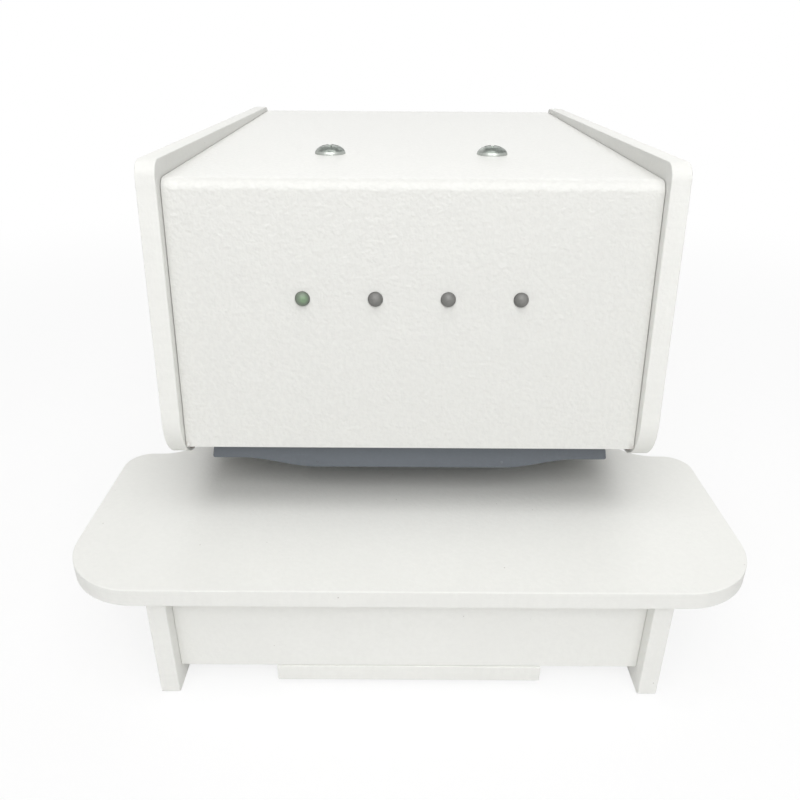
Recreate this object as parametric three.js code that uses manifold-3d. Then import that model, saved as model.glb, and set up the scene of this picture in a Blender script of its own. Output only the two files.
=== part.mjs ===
// Desk-top electric stapler: board side plates, a folded cover, a worktable and a cam press inside.
// Lengths are millimetres and angles radians. X runs across, Y to the back and Z up.
// The origin is on the floor, at the middle of the whole outline.
import * as THREE from 'three';
import { mergeVertices } from 'three/addons/utils/BufferGeometryUtils.js';
import Module from 'manifold-3d';

const wasm = await Module();
wasm.setup();

const degree = Math.PI / 180;
const quarterTurn = Math.PI / 2;
const fullTurn = Math.PI * 2;

// Driving sizes of the housing
const boardThick = 8;
const bodyWidth = 214;
const bodyDepth = 334;
const tableWidth = 289;
const tableDepth = 106.5;
const tableTop = 58.5;
const throatHeight = 29.5;
const headSetback = 63;
const headLean = 6.45 * degree;
const legSetback = 2.1;
const throatBack = 148;
const plateFrontProud = 7.3;
const plateRearProud = 2.8;
const coverHemRise = 4.6;
const coverSetback = 4.8;
const sheetThick = 1.5;

// Driving sizes of the press
const staplePitch = 50;
const pressStroke = 16;
const driveStroke = 8;
const camStrokeTurn = 144 * degree;
const camRest = 18;
const rollerRadius = 7;
const carriageRise = 12;
const carriageThick = 6;
const rollerRise = 24;
const bridgeGap = 3;
const bridgeThick = 6;
const socketLength = 12.2;

// Clearances that several pieces share
const seatGap = 0.3;
const slideGap = 0.8;
const cutOverrun = 5;
const joinDepth = 1;

// Round sections
const coarseSides = 12;
const fineSides = 20;

// Places that follow from the driving sizes
const frontY = -bodyDepth / 2;
const halfWidth = bodyWidth / 2;
const innerHalf = halfWidth - boardThick;
const tableBottom = tableTop - boardThick;
const headBottom = tableTop + throatHeight;
const carriageBottom = headBottom + carriageRise;
const carriageTop = carriageBottom + carriageThick;
const rollerZ = carriageTop + rollerRise;
const camZ = rollerZ + camRest;
const camLift = pressStroke + driveStroke;
const camReach = camRest + camLift - rollerRadius;
const bridgeBottom = camZ + camReach + bridgeGap;
const bridgeTop = bridgeBottom + bridgeThick;
const coverInner = bridgeTop + socketLength;
const coverTop = coverInner + sheetThick;
const coverBottom = headBottom + coverHemRise;
const plateFrontTop = coverTop + plateFrontProud;
const plateRearTop = coverTop + plateRearProud;
const tableRear = frontY + tableDepth;
const rearY = frontY + bodyDepth;
const sides = { left: -1, right: 1 };

const headFrontAt = (z) => frontY + headSetback - Math.tan(headLean) * (coverTop - z);
const coverFrontAt = (z) => coverSetback + headFrontAt(z);
const coverInsideAt = (z) => coverFrontAt(z) + sheetThick / Math.cos(headLean);

// Finishes
const finish = (color, roughness, metalness = 0) => ({ color, roughness, metalness });
const whiteBoard = finish(0xe8e8e4, 0.6);
const whitePowder = finish(0xebebe7, 0.5);
const darkPlastic = finish(0x6b7278, 0.5);
const blackPlastic = finish(0x26282a, 0.5);
const whitePlastic = finish(0xdcdcd8, 0.5);
const brightSteel = finish(0xc8ccd0, 0.25, 1);
const plainSteel = finish(0x9a9ea2, 0.4, 1);
const aluminium = finish(0xb8bcc0, 0.4, 1);
const brass = finish(0xb59a55, 0.35, 1);
const greenLens = finish(0x86a07e, 0.2);
const smokedLens = finish(0x858884, 0.2);
const greenBoard = finish(0x2f6b45, 0.5);

// Solids from meshes and back

const weldDistance = 1e-4;

function toSolid(geometry) {
  const bare = geometry.index ? geometry.toNonIndexed() : geometry.clone();
  bare.deleteAttribute('normal');
  bare.deleteAttribute('uv');
  const merged = mergeVertices(bare, weldDistance);
  return new wasm.Manifold(new wasm.Mesh({
    numProp: 3,
    vertProperties: new Float32Array(merged.attributes.position.array),
    triVerts: new Uint32Array(merged.index.array),
  }));
}

function toGeometry(solid) {
  const mesh = solid.getMesh();
  const geometry = new THREE.BufferGeometry();
  geometry.setAttribute('position', new THREE.BufferAttribute(mesh.vertProperties, 3));
  geometry.setIndex(new THREE.BufferAttribute(mesh.triVerts, 1));
  return geometry;
}

function cut(base, tools) {
  return toGeometry(tools.reduce((solid, tool) => solid.subtract(toSolid(tool)), toSolid(base)));
}

function join(pieces) {
  const [first, ...others] = pieces.map(toSolid);
  return toGeometry(others.reduce((solid, other) => solid.add(other), first));
}

// Shapes

function roundedShape(corners, arcSteps = 6) {
  const shape = new THREE.Shape();
  const count = corners.length;
  const points = [];
  corners.forEach(([u, v, radius = 0], index) => {
    const before = corners[(index + count - 1) % count];
    const after = corners[(index + 1) % count];
    const here = new THREE.Vector2(u, v);
    if (radius === 0) {
      points.push(here);
      return;
    }
    const back = new THREE.Vector2(before[0] - u, before[1] - v).normalize();
    const ahead = new THREE.Vector2(after[0] - u, after[1] - v).normalize();
    const half = Math.acos(THREE.MathUtils.clamp(back.dot(ahead), -1, 1)) / 2;
    const middle = back.clone().add(ahead).normalize();
    const centre = here.clone().addScaledVector(middle, radius / Math.sin(half));
    const reach = radius / Math.tan(half);
    const start = here.clone().addScaledVector(back, reach).sub(centre).angle();
    const end = here.clone().addScaledVector(ahead, reach).sub(centre).angle();
    const sweep = THREE.MathUtils.euclideanModulo(end - start + Math.PI, fullTurn) - Math.PI;
    for (let step = 0; step <= arcSteps; step += 1) {
      const angle = start + (sweep * step) / arcSteps;
      points.push(new THREE.Vector2(Math.cos(angle), Math.sin(angle)).multiplyScalar(radius).add(centre));
    }
  });
  shape.setFromPoints(points);
  return shape;
}

function circlePath(u, v, radius, sideCount) {
  const path = new THREE.Path();
  const points = [];
  for (let side = 0; side < sideCount; side += 1) {
    const angle = (fullTurn * side) / sideCount;
    points.push(new THREE.Vector2(u + radius * Math.cos(angle), v + radius * Math.sin(angle)));
  }
  path.setFromPoints(points);
  return path;
}

function circleShape(u, v, radius, sideCount) {
  return new THREE.Shape(circlePath(u, v, radius, sideCount).getPoints());
}

function ringShape(u, v, outer, inner, sideCount) {
  const shape = circleShape(u, v, outer, sideCount);
  shape.holes.push(circlePath(u, v, inner, sideCount));
  return shape;
}

function slab(shape, from, to, basis) {
  const geometry = new THREE.ExtrudeGeometry(shape, { depth: to - from, bevelEnabled: false });
  geometry.translate(0, 0, from);
  geometry.applyMatrix4(basis);
  return geometry;
}

const xAxis = new THREE.Vector3(1, 0, 0);
const yAxis = new THREE.Vector3(0, 1, 0);
const zAxis = new THREE.Vector3(0, 0, 1);
const acrossBasis = new THREE.Matrix4().makeBasis(yAxis, zAxis, xAxis);
const depthBasis = new THREE.Matrix4().makeBasis(zAxis, xAxis, yAxis);
const heightBasis = new THREE.Matrix4();

// A profile of [y, z] runs along X, one of [z, x] runs along Y and one of [x, y] runs along Z.
const alongX = (shape, from, to) => slab(shape, from, to, acrossBasis);
const alongY = (shape, from, to) => slab(shape, from, to, depthBasis);
const alongZ = (shape, from, to) => slab(shape, from, to, heightBasis);

function box(x, y, z) {
  const geometry = new THREE.BoxGeometry(x[1] - x[0], y[1] - y[0], z[1] - z[0]);
  geometry.translate((x[0] + x[1]) / 2, (y[0] + y[1]) / 2, (z[0] + z[1]) / 2);
  return geometry;
}

const rodX = (y, z, radius, from, to, sideCount = coarseSides) =>
  alongX(circleShape(y, z, radius, sideCount), from, to);
const rodY = (x, z, radius, from, to, sideCount = coarseSides) =>
  alongY(circleShape(z, x, radius, sideCount), from, to);
const rodZ = (x, y, radius, from, to, sideCount = coarseSides) =>
  alongZ(circleShape(x, y, radius, sideCount), from, to);

// A solid turned about Z from a profile of [radius, height]
function turned(profile, sideCount) {
  const points = profile.map(([radius, height]) => new THREE.Vector2(radius, height));
  return new THREE.LatheGeometry(points, sideCount).rotateX(quarterTurn);
}

class Helix extends THREE.Curve {
  constructor(radius, length, turns) {
    super();
    Object.assign(this, { radius, length, turns });
  }

  getPoint(share, target = new THREE.Vector3()) {
    const angle = fullTurn * this.turns * share;
    return target.set(this.radius * Math.cos(angle), this.radius * Math.sin(angle), this.length * share);
  }
}

const coilSteps = 8;
const coilSides = 5;
const minCoilGap = 0.4;

// A coil standing on z = 0, whose wire keeps clear of itself from turn to turn
function coil(radius, wire, height, turns) {
  const run = height - wire * 2;
  if (run / turns - wire * 2 < minCoilGap) {
    console.log(`coil gap ${(run / turns - wire * 2).toFixed(2)} mm`);
  }
  const geometry = new THREE.ExtrudeGeometry(circleShape(0, 0, wire, coilSides), {
    steps: coilSteps * turns,
    bevelEnabled: false,
    extrudePath: new Helix(radius, run, turns),
  });
  return geometry.translate(0, 0, wire);
}

// Model tree

const stapler = new THREE.Group();

function place(name, geometry, look, parent = stapler) {
  const mesh = new THREE.Mesh(geometry, new THREE.MeshStandardMaterial(look));
  mesh.name = name;
  parent.add(mesh);
  return mesh;
}

// Side plates: head above, legs below, joined behind the throat

const plateCorner = 7;
const chinCorner = 20;
const plateHeadDrop = 3.8;
const throatCorner = 4.5;
const legCorner = 2;
const hingeRodRadius = 2;
const hingeBarrelWall = 1.3;
const hingeEmbed = 0.3;
const hingeSetback = 4.5;
const hingeSeatDepth = 6;
const barrelRadius = hingeRodRadius + seatGap + hingeBarrelWall;
const hingeY = rearY - hingeSetback;
const hingeZ = coverInner - barrelRadius + hingeEmbed;

function sidePlate(side) {
  const headEdge = headBottom - plateHeadDrop;
  const outline = roundedShape([
    [frontY + legSetback, 0, legCorner],
    [rearY, 0, legCorner],
    [rearY, plateRearTop, plateCorner],
    [headFrontAt(plateFrontTop), plateFrontTop, plateCorner],
    [headFrontAt(headEdge), headEdge, chinCorner],
    [frontY + throatBack, headEdge, throatCorner],
    [frontY + throatBack, tableBottom, throatCorner],
    [frontY + legSetback, tableBottom, legCorner],
  ]);
  const [from, to] = [side * innerHalf, side * halfWidth].sort((a, b) => a - b);
  const seatEnd = side * (innerHalf + hingeSeatDepth);
  const seatStart = side * (innerHalf - cutOverrun);
  const [seatFrom, seatTo] = [seatStart, seatEnd].sort((a, b) => a - b);
  return cut(alongX(outline, from, to), [rodX(hingeY, hingeZ, hingeRodRadius + seatGap, seatFrom, seatTo)]);
}

// Worktable with its anvil pocket and trigger slot

const tableFrontCorner = 33;
const tableRearCorner = 12;
const tableCornerSteps = 10;
const bladeThick = 1;
const bladeSetback = 105.1;
const bladeFront = frontY + bladeSetback;
const bladeMiddle = bladeFront + bladeThick / 2;
const anvilWidth = 78;
const anvilDepth = 13;
const anvilThick = 2.7;
const grooveRadius = 1.1;
const stapleWidth = 12.8;
const triggerThick = 4;
const triggerSlotGap = 1.2;
const triggerSlotFront = 23.9;
const triggerSlotRear = 35.9;
const tongueFillet = 22;

function worktable() {
  const half = tableWidth / 2;
  const outline = roundedShape([
    [-half, frontY, tableFrontCorner],
    [half, frontY, tableFrontCorner],
    [half, tableRear, tableRearCorner],
    [halfWidth, tableRear, tongueFillet],
    [halfWidth, stopFront],
    [-halfWidth, stopFront],
    [-halfWidth, tableRear, tongueFillet],
    [-half, tableRear, tableRearCorner],
  ], tableCornerSteps);
  const pocketHalf = anvilWidth / 2 + seatGap;
  const pocketReach = anvilDepth / 2 + seatGap;
  const slotHalf = triggerThick / 2 + triggerSlotGap;
  return cut(alongZ(outline, tableBottom, tableTop), [
    box([-pocketHalf, pocketHalf], [bladeMiddle - pocketReach, bladeMiddle + pocketReach],
      [tableTop - anvilThick, tableTop + cutOverrun]),
    box([-slotHalf, slotHalf], [bladeFront + triggerSlotFront, bladeFront + triggerSlotRear],
      [tableBottom - cutOverrun, tableTop + cutOverrun]),
  ]);
}

function anvilPlate() {
  const half = anvilWidth / 2;
  const reach = anvilDepth / 2;
  const grooves = Object.values(sides).flatMap((head) => Object.values(sides).map((leg) => {
    const x = (head * staplePitch) / 2 + (leg * stapleWidth) / 2 - leg * grooveRadius;
    const [from, to] = [bladeMiddle - reach / 2, bladeMiddle + reach / 2];
    return rodY(x, tableTop, grooveRadius, from, to, coarseSides / 2);
  }));
  const depth = [bladeMiddle - reach, bladeMiddle + reach];
  return cut(box([-half, half], depth, [tableTop - anvilThick, tableTop]), grooves);
}

// Boards of the base and the back

const panelSetback = 8.56;
const panelBottom = 10.2;
const tabWidth = 114.6;
const tabProud = 0.6;
const rearPanelSetback = 6;
const rearPanelDrop = 15.7;
const stopPanelSetback = 143;
const stopPanelProud = 2.5;
const cableHoleRadius = 10;
const cableHoleSetback = 60;
const panelFront = frontY + panelSetback;
const panelBack = panelFront + boardThick;
const rearPanelBack = rearY - rearPanelSetback;
const rearPanelFront = rearPanelBack - boardThick;
const rearPanelTop = coverTop - rearPanelDrop;
const stopFront = frontY + stopPanelSetback;
const shelfFront = stopFront + boardThick;

function baseFrontPanel() {
  return box([-innerHalf, innerHalf], [panelFront, panelBack], [panelBottom, tableBottom]);
}

function bottomPlate() {
  const tabHalf = tabWidth / 2;
  const outline = roundedShape([
    [-innerHalf, panelBack], [-tabHalf, panelBack], [-tabHalf, panelFront - tabProud],
    [tabHalf, panelFront - tabProud], [tabHalf, panelBack], [innerHalf, panelBack],
    [innerHalf, rearPanelBack], [-innerHalf, rearPanelBack],
  ]);
  return alongZ(outline, panelBottom - boardThick, panelBottom);
}

function paperStop() {
  return box([-innerHalf, innerHalf], [stopFront, shelfFront], [tableBottom, tableTop + stopPanelProud]);
}

function innerShelf() {
  const shelf = box([-innerHalf, innerHalf], [shelfFront, rearPanelFront], [tableBottom, tableTop]);
  const holeY = rearPanelFront - cableHoleSetback / 2;
  return cut(shelf, [rodZ(-innerHalf + cableHoleSetback / 2, holeY, cableHoleRadius,
    tableBottom - cutOverrun, tableTop + cutOverrun)]);
}

// Mains inlet and rocker switch in the rear panel

const inletInset = 47;
const switchPitch = 46;
const inletX = -innerHalf + inletInset;
const switchX = inletX + switchPitch;
const socketZ = 32;
const inletBodyWidth = 27;
const inletBodyHeight = 20;
const inletDepth = 20;
const inletWall = 2;
const inletFloor = 4;
const inletFlange = 4;
const flangeThick = 2;
const pinWide = 2;
const pinTall = 4;
const pinPitch = 7;
const pinShort = 3;
const earthPinRise = 2;
const livePinDrop = 1;
const switchBodyWidth = 13;
const switchBodyHeight = 20;
const switchDepth = 16;
const ventCount = 7;
const ventPitch = 9;
const ventWidth = 4;
const ventHeight = 46;
const ventX = 46;
const ventDrop = 68;
const ventBottom = rearPanelTop - ventDrop;

function rearPanel() {
  const panel = box([-innerHalf, innerHalf], [rearPanelFront, rearPanelBack], [panelBottom, rearPanelTop]);
  const through = [rearPanelFront - cutOverrun, rearPanelBack + cutOverrun];
  const hole = (x, width, height) => box([x - width / 2 - seatGap, x + width / 2 + seatGap], through,
    [socketZ - height / 2 - seatGap, socketZ + height / 2 + seatGap]);
  const vents = [];
  for (let index = 0; index < ventCount; index += 1) {
    const x = ventX + (index - (ventCount - 1) / 2) * ventPitch;
    vents.push(box([x - ventWidth / 2, x + ventWidth / 2], through, [ventBottom, ventBottom + ventHeight]));
  }
  return cut(panel, [
    hole(inletX, inletBodyWidth, inletBodyHeight),
    hole(switchX, switchBodyWidth, switchBodyHeight),
    ...vents,
  ]);
}

function centredBox(x, z, width, height, y) {
  return box([x - width / 2, x + width / 2], y, [z - height / 2, z + height / 2]);
}

function mainsInlet() {
  const face = rearPanelBack + flangeThick;
  const floor = face - inletDepth + inletFloor;
  const bowl = centredBox(inletX, socketZ, inletBodyWidth - inletWall * 2, inletBodyHeight - inletWall * 2,
    [floor, face + cutOverrun]);
  const shell = cut(join([
    centredBox(inletX, socketZ, inletBodyWidth, inletBodyHeight, [face - inletDepth, face]),
    centredBox(inletX, socketZ, inletBodyWidth + inletFlange * 2, inletBodyHeight + inletFlange,
      [rearPanelBack, face]),
  ]), [bowl]);
  const pins = [-1, 0, 1].map((index) => {
    const x = inletX + index * pinPitch;
    const z = socketZ + (index === 0 ? earthPinRise : -livePinDrop);
    return centredBox(x, z, pinWide, pinTall, [floor - joinDepth, face - pinShort]);
  });
  return join([shell, ...pins]);
}

const rockerWidth = switchBodyWidth - inletWall;
const rockerLength = switchBodyHeight - inletWall;
const rockerTilt = 12 * degree;
const rockerPivotDepth = 3;
const rockerHeel = 6;
const rockerHeelHalf = 3;

function switchFrame() {
  const face = rearPanelBack + flangeThick;
  const well = centredBox(switchX, socketZ, rockerWidth + seatGap * 2, rockerLength + seatGap * 2,
    [face - switchDepth + inletFloor, face + cutOverrun]);
  return cut(join([
    centredBox(switchX, socketZ, switchBodyWidth, switchBodyHeight, [face - switchDepth, face]),
    centredBox(switchX, socketZ, switchBodyWidth + inletFlange, switchBodyHeight + inletFlange,
      [rearPanelBack, face]),
  ]), [well]);
}

// The rocker's profile is drawn level about its pivot, then tipped to the off side.
function powerRocker() {
  const group = new THREE.Group();
  group.position.set(0, rearPanelBack + flangeThick - rockerPivotDepth, socketZ);
  group.rotation.x = rockerTilt;
  const reach = rockerLength / 2 - slideGap;
  const crest = rockerPivotDepth + Math.sin(rockerTilt) * reach;
  const outline = roundedShape([
    [-rockerHeel, -rockerHeelHalf], [0, -reach], [crest, -reach], [rockerPivotDepth, 0],
    [crest, reach], [0, reach], [-rockerHeel, rockerHeelHalf],
  ]);
  const geometry = alongX(outline, switchX - rockerWidth / 2 + seatGap, switchX + rockerWidth / 2 - seatGap);
  place('power_rocker', geometry, blackPlastic, group);
  stapler.add(group);
}

// Press: cam over a roller, a driver bar, and a carriage that carries the magazines on two guide rods

const camOffset = 38.9;
const rollerWidth = 10;
const rollerPinRadius = 2.5;
const camThick = 10;
const shaftRadius = 5;
const mechanismInset = 19;
const mechanismThick = 3;
const gearWidth = 8;
const gearGap = 3;
const camRise = camLift / camStrokeTurn;
const mechanismHalf = innerHalf - mechanismInset;
const camY = bladeFront + camOffset;
const bushRadius = 8;
const bushFlange = 2.5;
const motorRadius = 17.5;
const gearboxRadius = 18.5;
const gearboxLength = 22;
const motorCamGap = 5;
const motorBoss = 4;
const motorBossRadius = 6;
const outputShaftRadius = 3;
const outputSeatDepth = 6;
const outputHoleRadius = 6;
const toothModule = 2;
const gearTeeth = 30;
const pinionTeeth = 12;
const motorDrop = 8 * degree;
const gearCentres = (toothModule * (gearTeeth + pinionTeeth)) / 2;
const motorY = camY + gearCentres * Math.cos(motorDrop);
const motorZ = camZ - gearCentres * Math.sin(motorDrop);
const gearFrom = mechanismHalf + mechanismThick + gearGap;
const gearTo = gearFrom + gearWidth;

const rodInset = 18;
const rodHalfSpan = mechanismHalf - rodInset;
const rodOffset = 25.9;
const rodRadius = 5;
const rodRise = 2;
const rodBottom = headBottom + rodRise;
const rodHeadRadius = 8;
const rodHeadThick = 4;
const guideY = bladeFront + rodOffset;

const fastenerRodGap = 24;
const fastenerHalfSpan = rodHalfSpan - fastenerRodGap;
const fastenerSetback = 135;
const fastenerY = frontY + fastenerSetback;
const fastenerHeadRadius = 7.2;
const fastenerHeadHeight = 4;
const fastenerShankRadius = 3;
const fastenerShankLength = 12;
const socketRadius = 8;
const socketBore = 4.4;
const bridgeFrontOffset = 14.9;
const bridgeBackOffset = 82.9;
const bridgeFront = bladeFront + bridgeFrontOffset;
const bridgeBack = bladeFront + bridgeBackOffset;

function bridgePlate() {
  const reach = mechanismHalf + mechanismThick;
  const outline = roundedShape([
    [-reach, bridgeFront, legCorner], [reach, bridgeFront, legCorner],
    [reach, bridgeBack, legCorner], [-reach, bridgeBack, legCorner],
  ]);
  Object.values(sides).forEach((side) => {
    outline.holes.push(circlePath(side * rodHalfSpan, guideY, rodRadius + seatGap, coarseSides));
    outline.holes.push(circlePath(side * fastenerHalfSpan, fastenerY, socketBore, coarseSides));
  });
  return alongZ(outline, bridgeBottom, bridgeTop);
}

const footBackOffset = 145.9;
const footFrontOffset = 52.9;
const shoulderOffset = 100.9;
const waistRise = 16;
const mechanismWaist = carriageBottom + waistRise;
const mechanismCorner = 6;
const footWidth = 14;
const footMargin = 6;
const footBack = bladeFront + footBackOffset;
const footFront = bladeFront + footFrontOffset;
const shoulderY = bladeFront + shoulderOffset;

function mechanismPlate(side) {
  const outer = side * (mechanismHalf + mechanismThick);
  const inner = side * mechanismHalf;
  const [from, to] = [outer, inner].sort((a, b) => a - b);
  const outline = roundedShape([
    [footFront, tableTop],
    [footBack, tableTop],
    [footBack, tableTop + (bridgeBottom - tableTop) / 2, mechanismCorner],
    [shoulderY, bridgeBottom, mechanismCorner],
    [bridgeFront, bridgeBottom, legCorner],
    [bridgeFront, mechanismWaist, mechanismCorner],
    [footFront, mechanismWaist, mechanismCorner],
  ]);
  const [footFrom, footTo] = [inner + side * joinDepth, inner - side * footWidth].sort((a, b) => a - b);
  const foot = box([footFrom, footTo],
    [footFront + footMargin, footBack - footMargin],
    [tableTop, tableTop + mechanismThick]);
  const holes = [rodX(camY, camZ, bushRadius + seatGap, from - cutOverrun, to + cutOverrun, fineSides)];
  if (side === sides.right) {
    holes.push(rodX(motorY, motorZ, outputHoleRadius, from - cutOverrun, to + cutOverrun));
  }
  return cut(join([alongX(outline, from, to), foot]), holes);
}

function camBush(side) {
  const inside = side * (mechanismHalf - bushFlange);
  const outside = side * (mechanismHalf + mechanismThick);
  const flangeEnd = side * mechanismHalf;
  const [from, to] = [inside, outside].sort((a, b) => a - b);
  const [flangeFrom, flangeTo] = [inside, flangeEnd].sort((a, b) => a - b);
  const body = join([
    rodX(camY, camZ, bushRadius, from, to, fineSides),
    rodX(camY, camZ, bushRadius + bushFlange, flangeFrom, flangeTo, fineSides),
  ]);
  return cut(body, [rodX(camY, camZ, shaftRadius + seatGap, from - cutOverrun, to + cutOverrun)]);
}

const camShaft = () => rodX(camY, camZ, shaftRadius, -gearFrom - gearGap, gearTo + gearGap / 2);

// The cam is what the roller leaves of a disc, when it rises evenly for one stroke and falls as evenly.
const camSamples = 60;
const rollerSamples = 180;

function rollerDistance(turn) {
  const fromRest = Math.min(turn, camStrokeTurn * 2 - turn);
  return camRest + camRise * Math.max(fromRest, 0);
}

function camRadius(direction) {
  const clearRadius = rollerRadius + seatGap;
  let reach = camRest + camLift;
  for (let sample = 0; sample < rollerSamples; sample += 1) {
    const turn = (fullTurn * sample) / rollerSamples;
    const away = THREE.MathUtils.euclideanModulo(direction - turn + Math.PI, fullTurn) - Math.PI;
    const distance = rollerDistance(turn);
    const across = distance * Math.sin(away);
    if (Math.cos(away) > 0 && Math.abs(across) < clearRadius) {
      reach = Math.min(reach, distance * Math.cos(away) - Math.sqrt(clearRadius ** 2 - across ** 2));
    }
  }
  return reach;
}

function driveCam() {
  const points = [];
  for (let sample = 0; sample < camSamples; sample += 1) {
    const turn = (fullTurn * sample) / camSamples;
    const angle = -quarterTurn - turn;
    const radius = camRadius(turn);
    points.push(new THREE.Vector2(camY + radius * Math.cos(angle), camZ + radius * Math.sin(angle)));
  }
  const outline = new THREE.Shape(points);
  outline.holes.push(circlePath(camY, camZ, shaftRadius + seatGap, coarseSides));
  return alongX(outline, -camThick / 2, camThick / 2);
}

const pressureAngle = 20 * degree;
const toothBacklash = 0.12;
const tipShare = 1;
const rootShare = 1.25;
const lighteningHoles = 5;
const lighteningRadius = 5;
const lighteningCircle = 17.5;
const involute = (angle) => Math.tan(angle) - angle;

// An involute spur gear about (y, z), with one tooth pointing in the given direction
function gearShape(teeth, y, z, firstTooth) {
  const pitchRadius = (toothModule * teeth) / 2;
  const baseRadius = pitchRadius * Math.cos(pressureAngle);
  const rootRadius = pitchRadius - toothModule * rootShare;
  const tipRadius = pitchRadius + toothModule * tipShare;
  const halfTooth = (radius) => {
    const angle = Math.acos(Math.min(1, baseRadius / Math.max(radius, baseRadius)));
    return quarterTurn / teeth - toothBacklash / pitchRadius + involute(pressureAngle) - involute(angle);
  };
  const flank = [rootRadius, pitchRadius, tipRadius];
  const points = [];
  for (let tooth = 0; tooth < teeth; tooth += 1) {
    const middle = firstTooth + (fullTurn * tooth) / teeth;
    const add = (radius, side) => points.push(new THREE.Vector2(
      y + radius * Math.cos(middle + side * halfTooth(radius)),
      z + radius * Math.sin(middle + side * halfTooth(radius)),
    ));
    flank.forEach((radius) => add(radius, -1));
    [...flank].reverse().forEach((radius) => add(radius, 1));
  }
  return new THREE.Shape(points);
}

function camGear() {
  const shape = gearShape(gearTeeth, camY, camZ, -motorDrop);
  shape.holes.push(circlePath(camY, camZ, shaftRadius + seatGap, coarseSides));
  for (let hole = 0; hole < lighteningHoles; hole += 1) {
    const angle = (fullTurn * hole) / lighteningHoles;
    const y = camY + lighteningCircle * Math.cos(angle);
    const z = camZ + lighteningCircle * Math.sin(angle);
    shape.holes.push(circlePath(y, z, lighteningRadius, coarseSides / 2));
  }
  return alongX(shape, gearFrom, gearTo);
}

function motorPinion() {
  const halfPitch = Math.PI / pinionTeeth;
  const shape = gearShape(pinionTeeth, motorY, motorZ, Math.PI - motorDrop + halfPitch);
  return join([
    alongX(shape, gearFrom, gearTo),
    rodX(motorY, motorZ, outputShaftRadius, mechanismHalf - outputSeatDepth + seatGap, gearTo + joinDepth),
  ]);
}

function gearbox() {
  const from = mechanismHalf - gearboxLength;
  const seat = mechanismHalf - outputSeatDepth;
  return cut(rodX(motorY, motorZ, gearboxRadius, from, mechanismHalf, fineSides), [
    rodX(motorY, motorZ, outputShaftRadius + seatGap, seat, mechanismHalf + cutOverrun),
  ]);
}

function motor() {
  const to = mechanismHalf - gearboxLength;
  const from = camThick / 2 + motorCamGap + motorBoss;
  return join([
    rodX(motorY, motorZ, motorRadius, from, to, fineSides),
    rodX(motorY, motorZ, motorBossRadius, from - motorBoss, from + joinDepth),
  ]);
}

function guideRod(side) {
  return join([
    rodZ(side * rodHalfSpan, guideY, rodRadius, rodBottom, bridgeTop + joinDepth),
    rodZ(side * rodHalfSpan, guideY, rodHeadRadius, bridgeTop, bridgeTop + rodHeadThick),
  ]);
}

// Carriage, nose bar and magazines

const carriageSideGap = 4;
const windowFrontOffset = -4;
const windowBackOffset = 2.9;
const carriageBackOffset = 42.9;
const noseSetback = 62;
const noseThick = 5;
const noseSideGap = 9;
const noseCover = 16;
const noseLobeHalf = 43;
const noseRampInset = 14;
const noseLobeDrop = 9.9;
const noseEndDrop = 5.2;
const noseEndSlant = 4;
const noseEndCorner = 1;
const noseRampSteps = 8;
const noseCornerSteps = 3;
const bossWall = 4;
const bossHeight = 18;
const carriageHalf = mechanismHalf - carriageSideGap;
const bossTop = carriageTop + bossHeight;
const noseTop = headBottom + noseCover;
const noseLobeBottom = headBottom - noseLobeDrop;
const noseEndBottom = headBottom - noseEndDrop;
const noseHalf = innerHalf - noseSideGap;
const noseRampHalf = noseHalf - noseRampInset;
const noseBack = frontY + noseSetback + noseThick;

function pressCarriage() {
  const front = noseBack + seatGap;
  const back = bladeFront + carriageBackOffset;
  const outline = roundedShape([
    [-carriageHalf, front, legCorner], [carriageHalf, front, legCorner],
    [carriageHalf, back, mechanismCorner], [-carriageHalf, back, mechanismCorner],
  ]);
  const windowHalf = (staplePitch + magazineWidth) / 2;
  const window = roundedShape([
    [-windowHalf, bladeFront + windowFrontOffset], [windowHalf, bladeFront + windowFrontOffset],
    [windowHalf, bladeFront + windowBackOffset], [-windowHalf, bladeFront + windowBackOffset],
  ]);
  outline.holes.push(new THREE.Path(window.getPoints()));
  const plate = alongZ(outline, carriageBottom, carriageTop);
  const bosses = Object.values(sides).map((side) =>
    rodZ(side * rodHalfSpan, guideY, rodRadius + bossWall, carriageTop - joinDepth, bossTop, fineSides));
  const boreRadius = rodRadius + seatGap;
  const bores = Object.values(sides).map((side) =>
    rodZ(side * rodHalfSpan, guideY, boreRadius, carriageBottom - cutOverrun, bossTop + cutOverrun));
  return cut(join([plate, ...bosses]), bores);
}

// Half of the nose bar's lower edge, from the middle lobe up to the end, as [z, x]
function noseEdge(side) {
  const points = [];
  for (let step = 0; step <= noseRampSteps; step += 1) {
    const share = step / noseRampSteps;
    const ease = THREE.MathUtils.smoothstep(share, 0, 1);
    const x = noseLobeHalf + (noseRampHalf - noseLobeHalf) * share;
    points.push([noseLobeBottom + (noseEndBottom - noseLobeBottom) * ease, side * x]);
  }
  return points;
}

function noseBar() {
  const outline = roundedShape([
    [noseTop, noseEndSlant - noseHalf], [noseEndBottom, -noseHalf, noseEndCorner],
    ...noseEdge(sides.left).reverse(), ...noseEdge(sides.right),
    [noseEndBottom, noseHalf, noseEndCorner], [noseTop, noseHalf - noseEndSlant],
  ], noseCornerSteps);
  return alongY(outline, frontY + noseSetback, noseBack);
}

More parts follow.
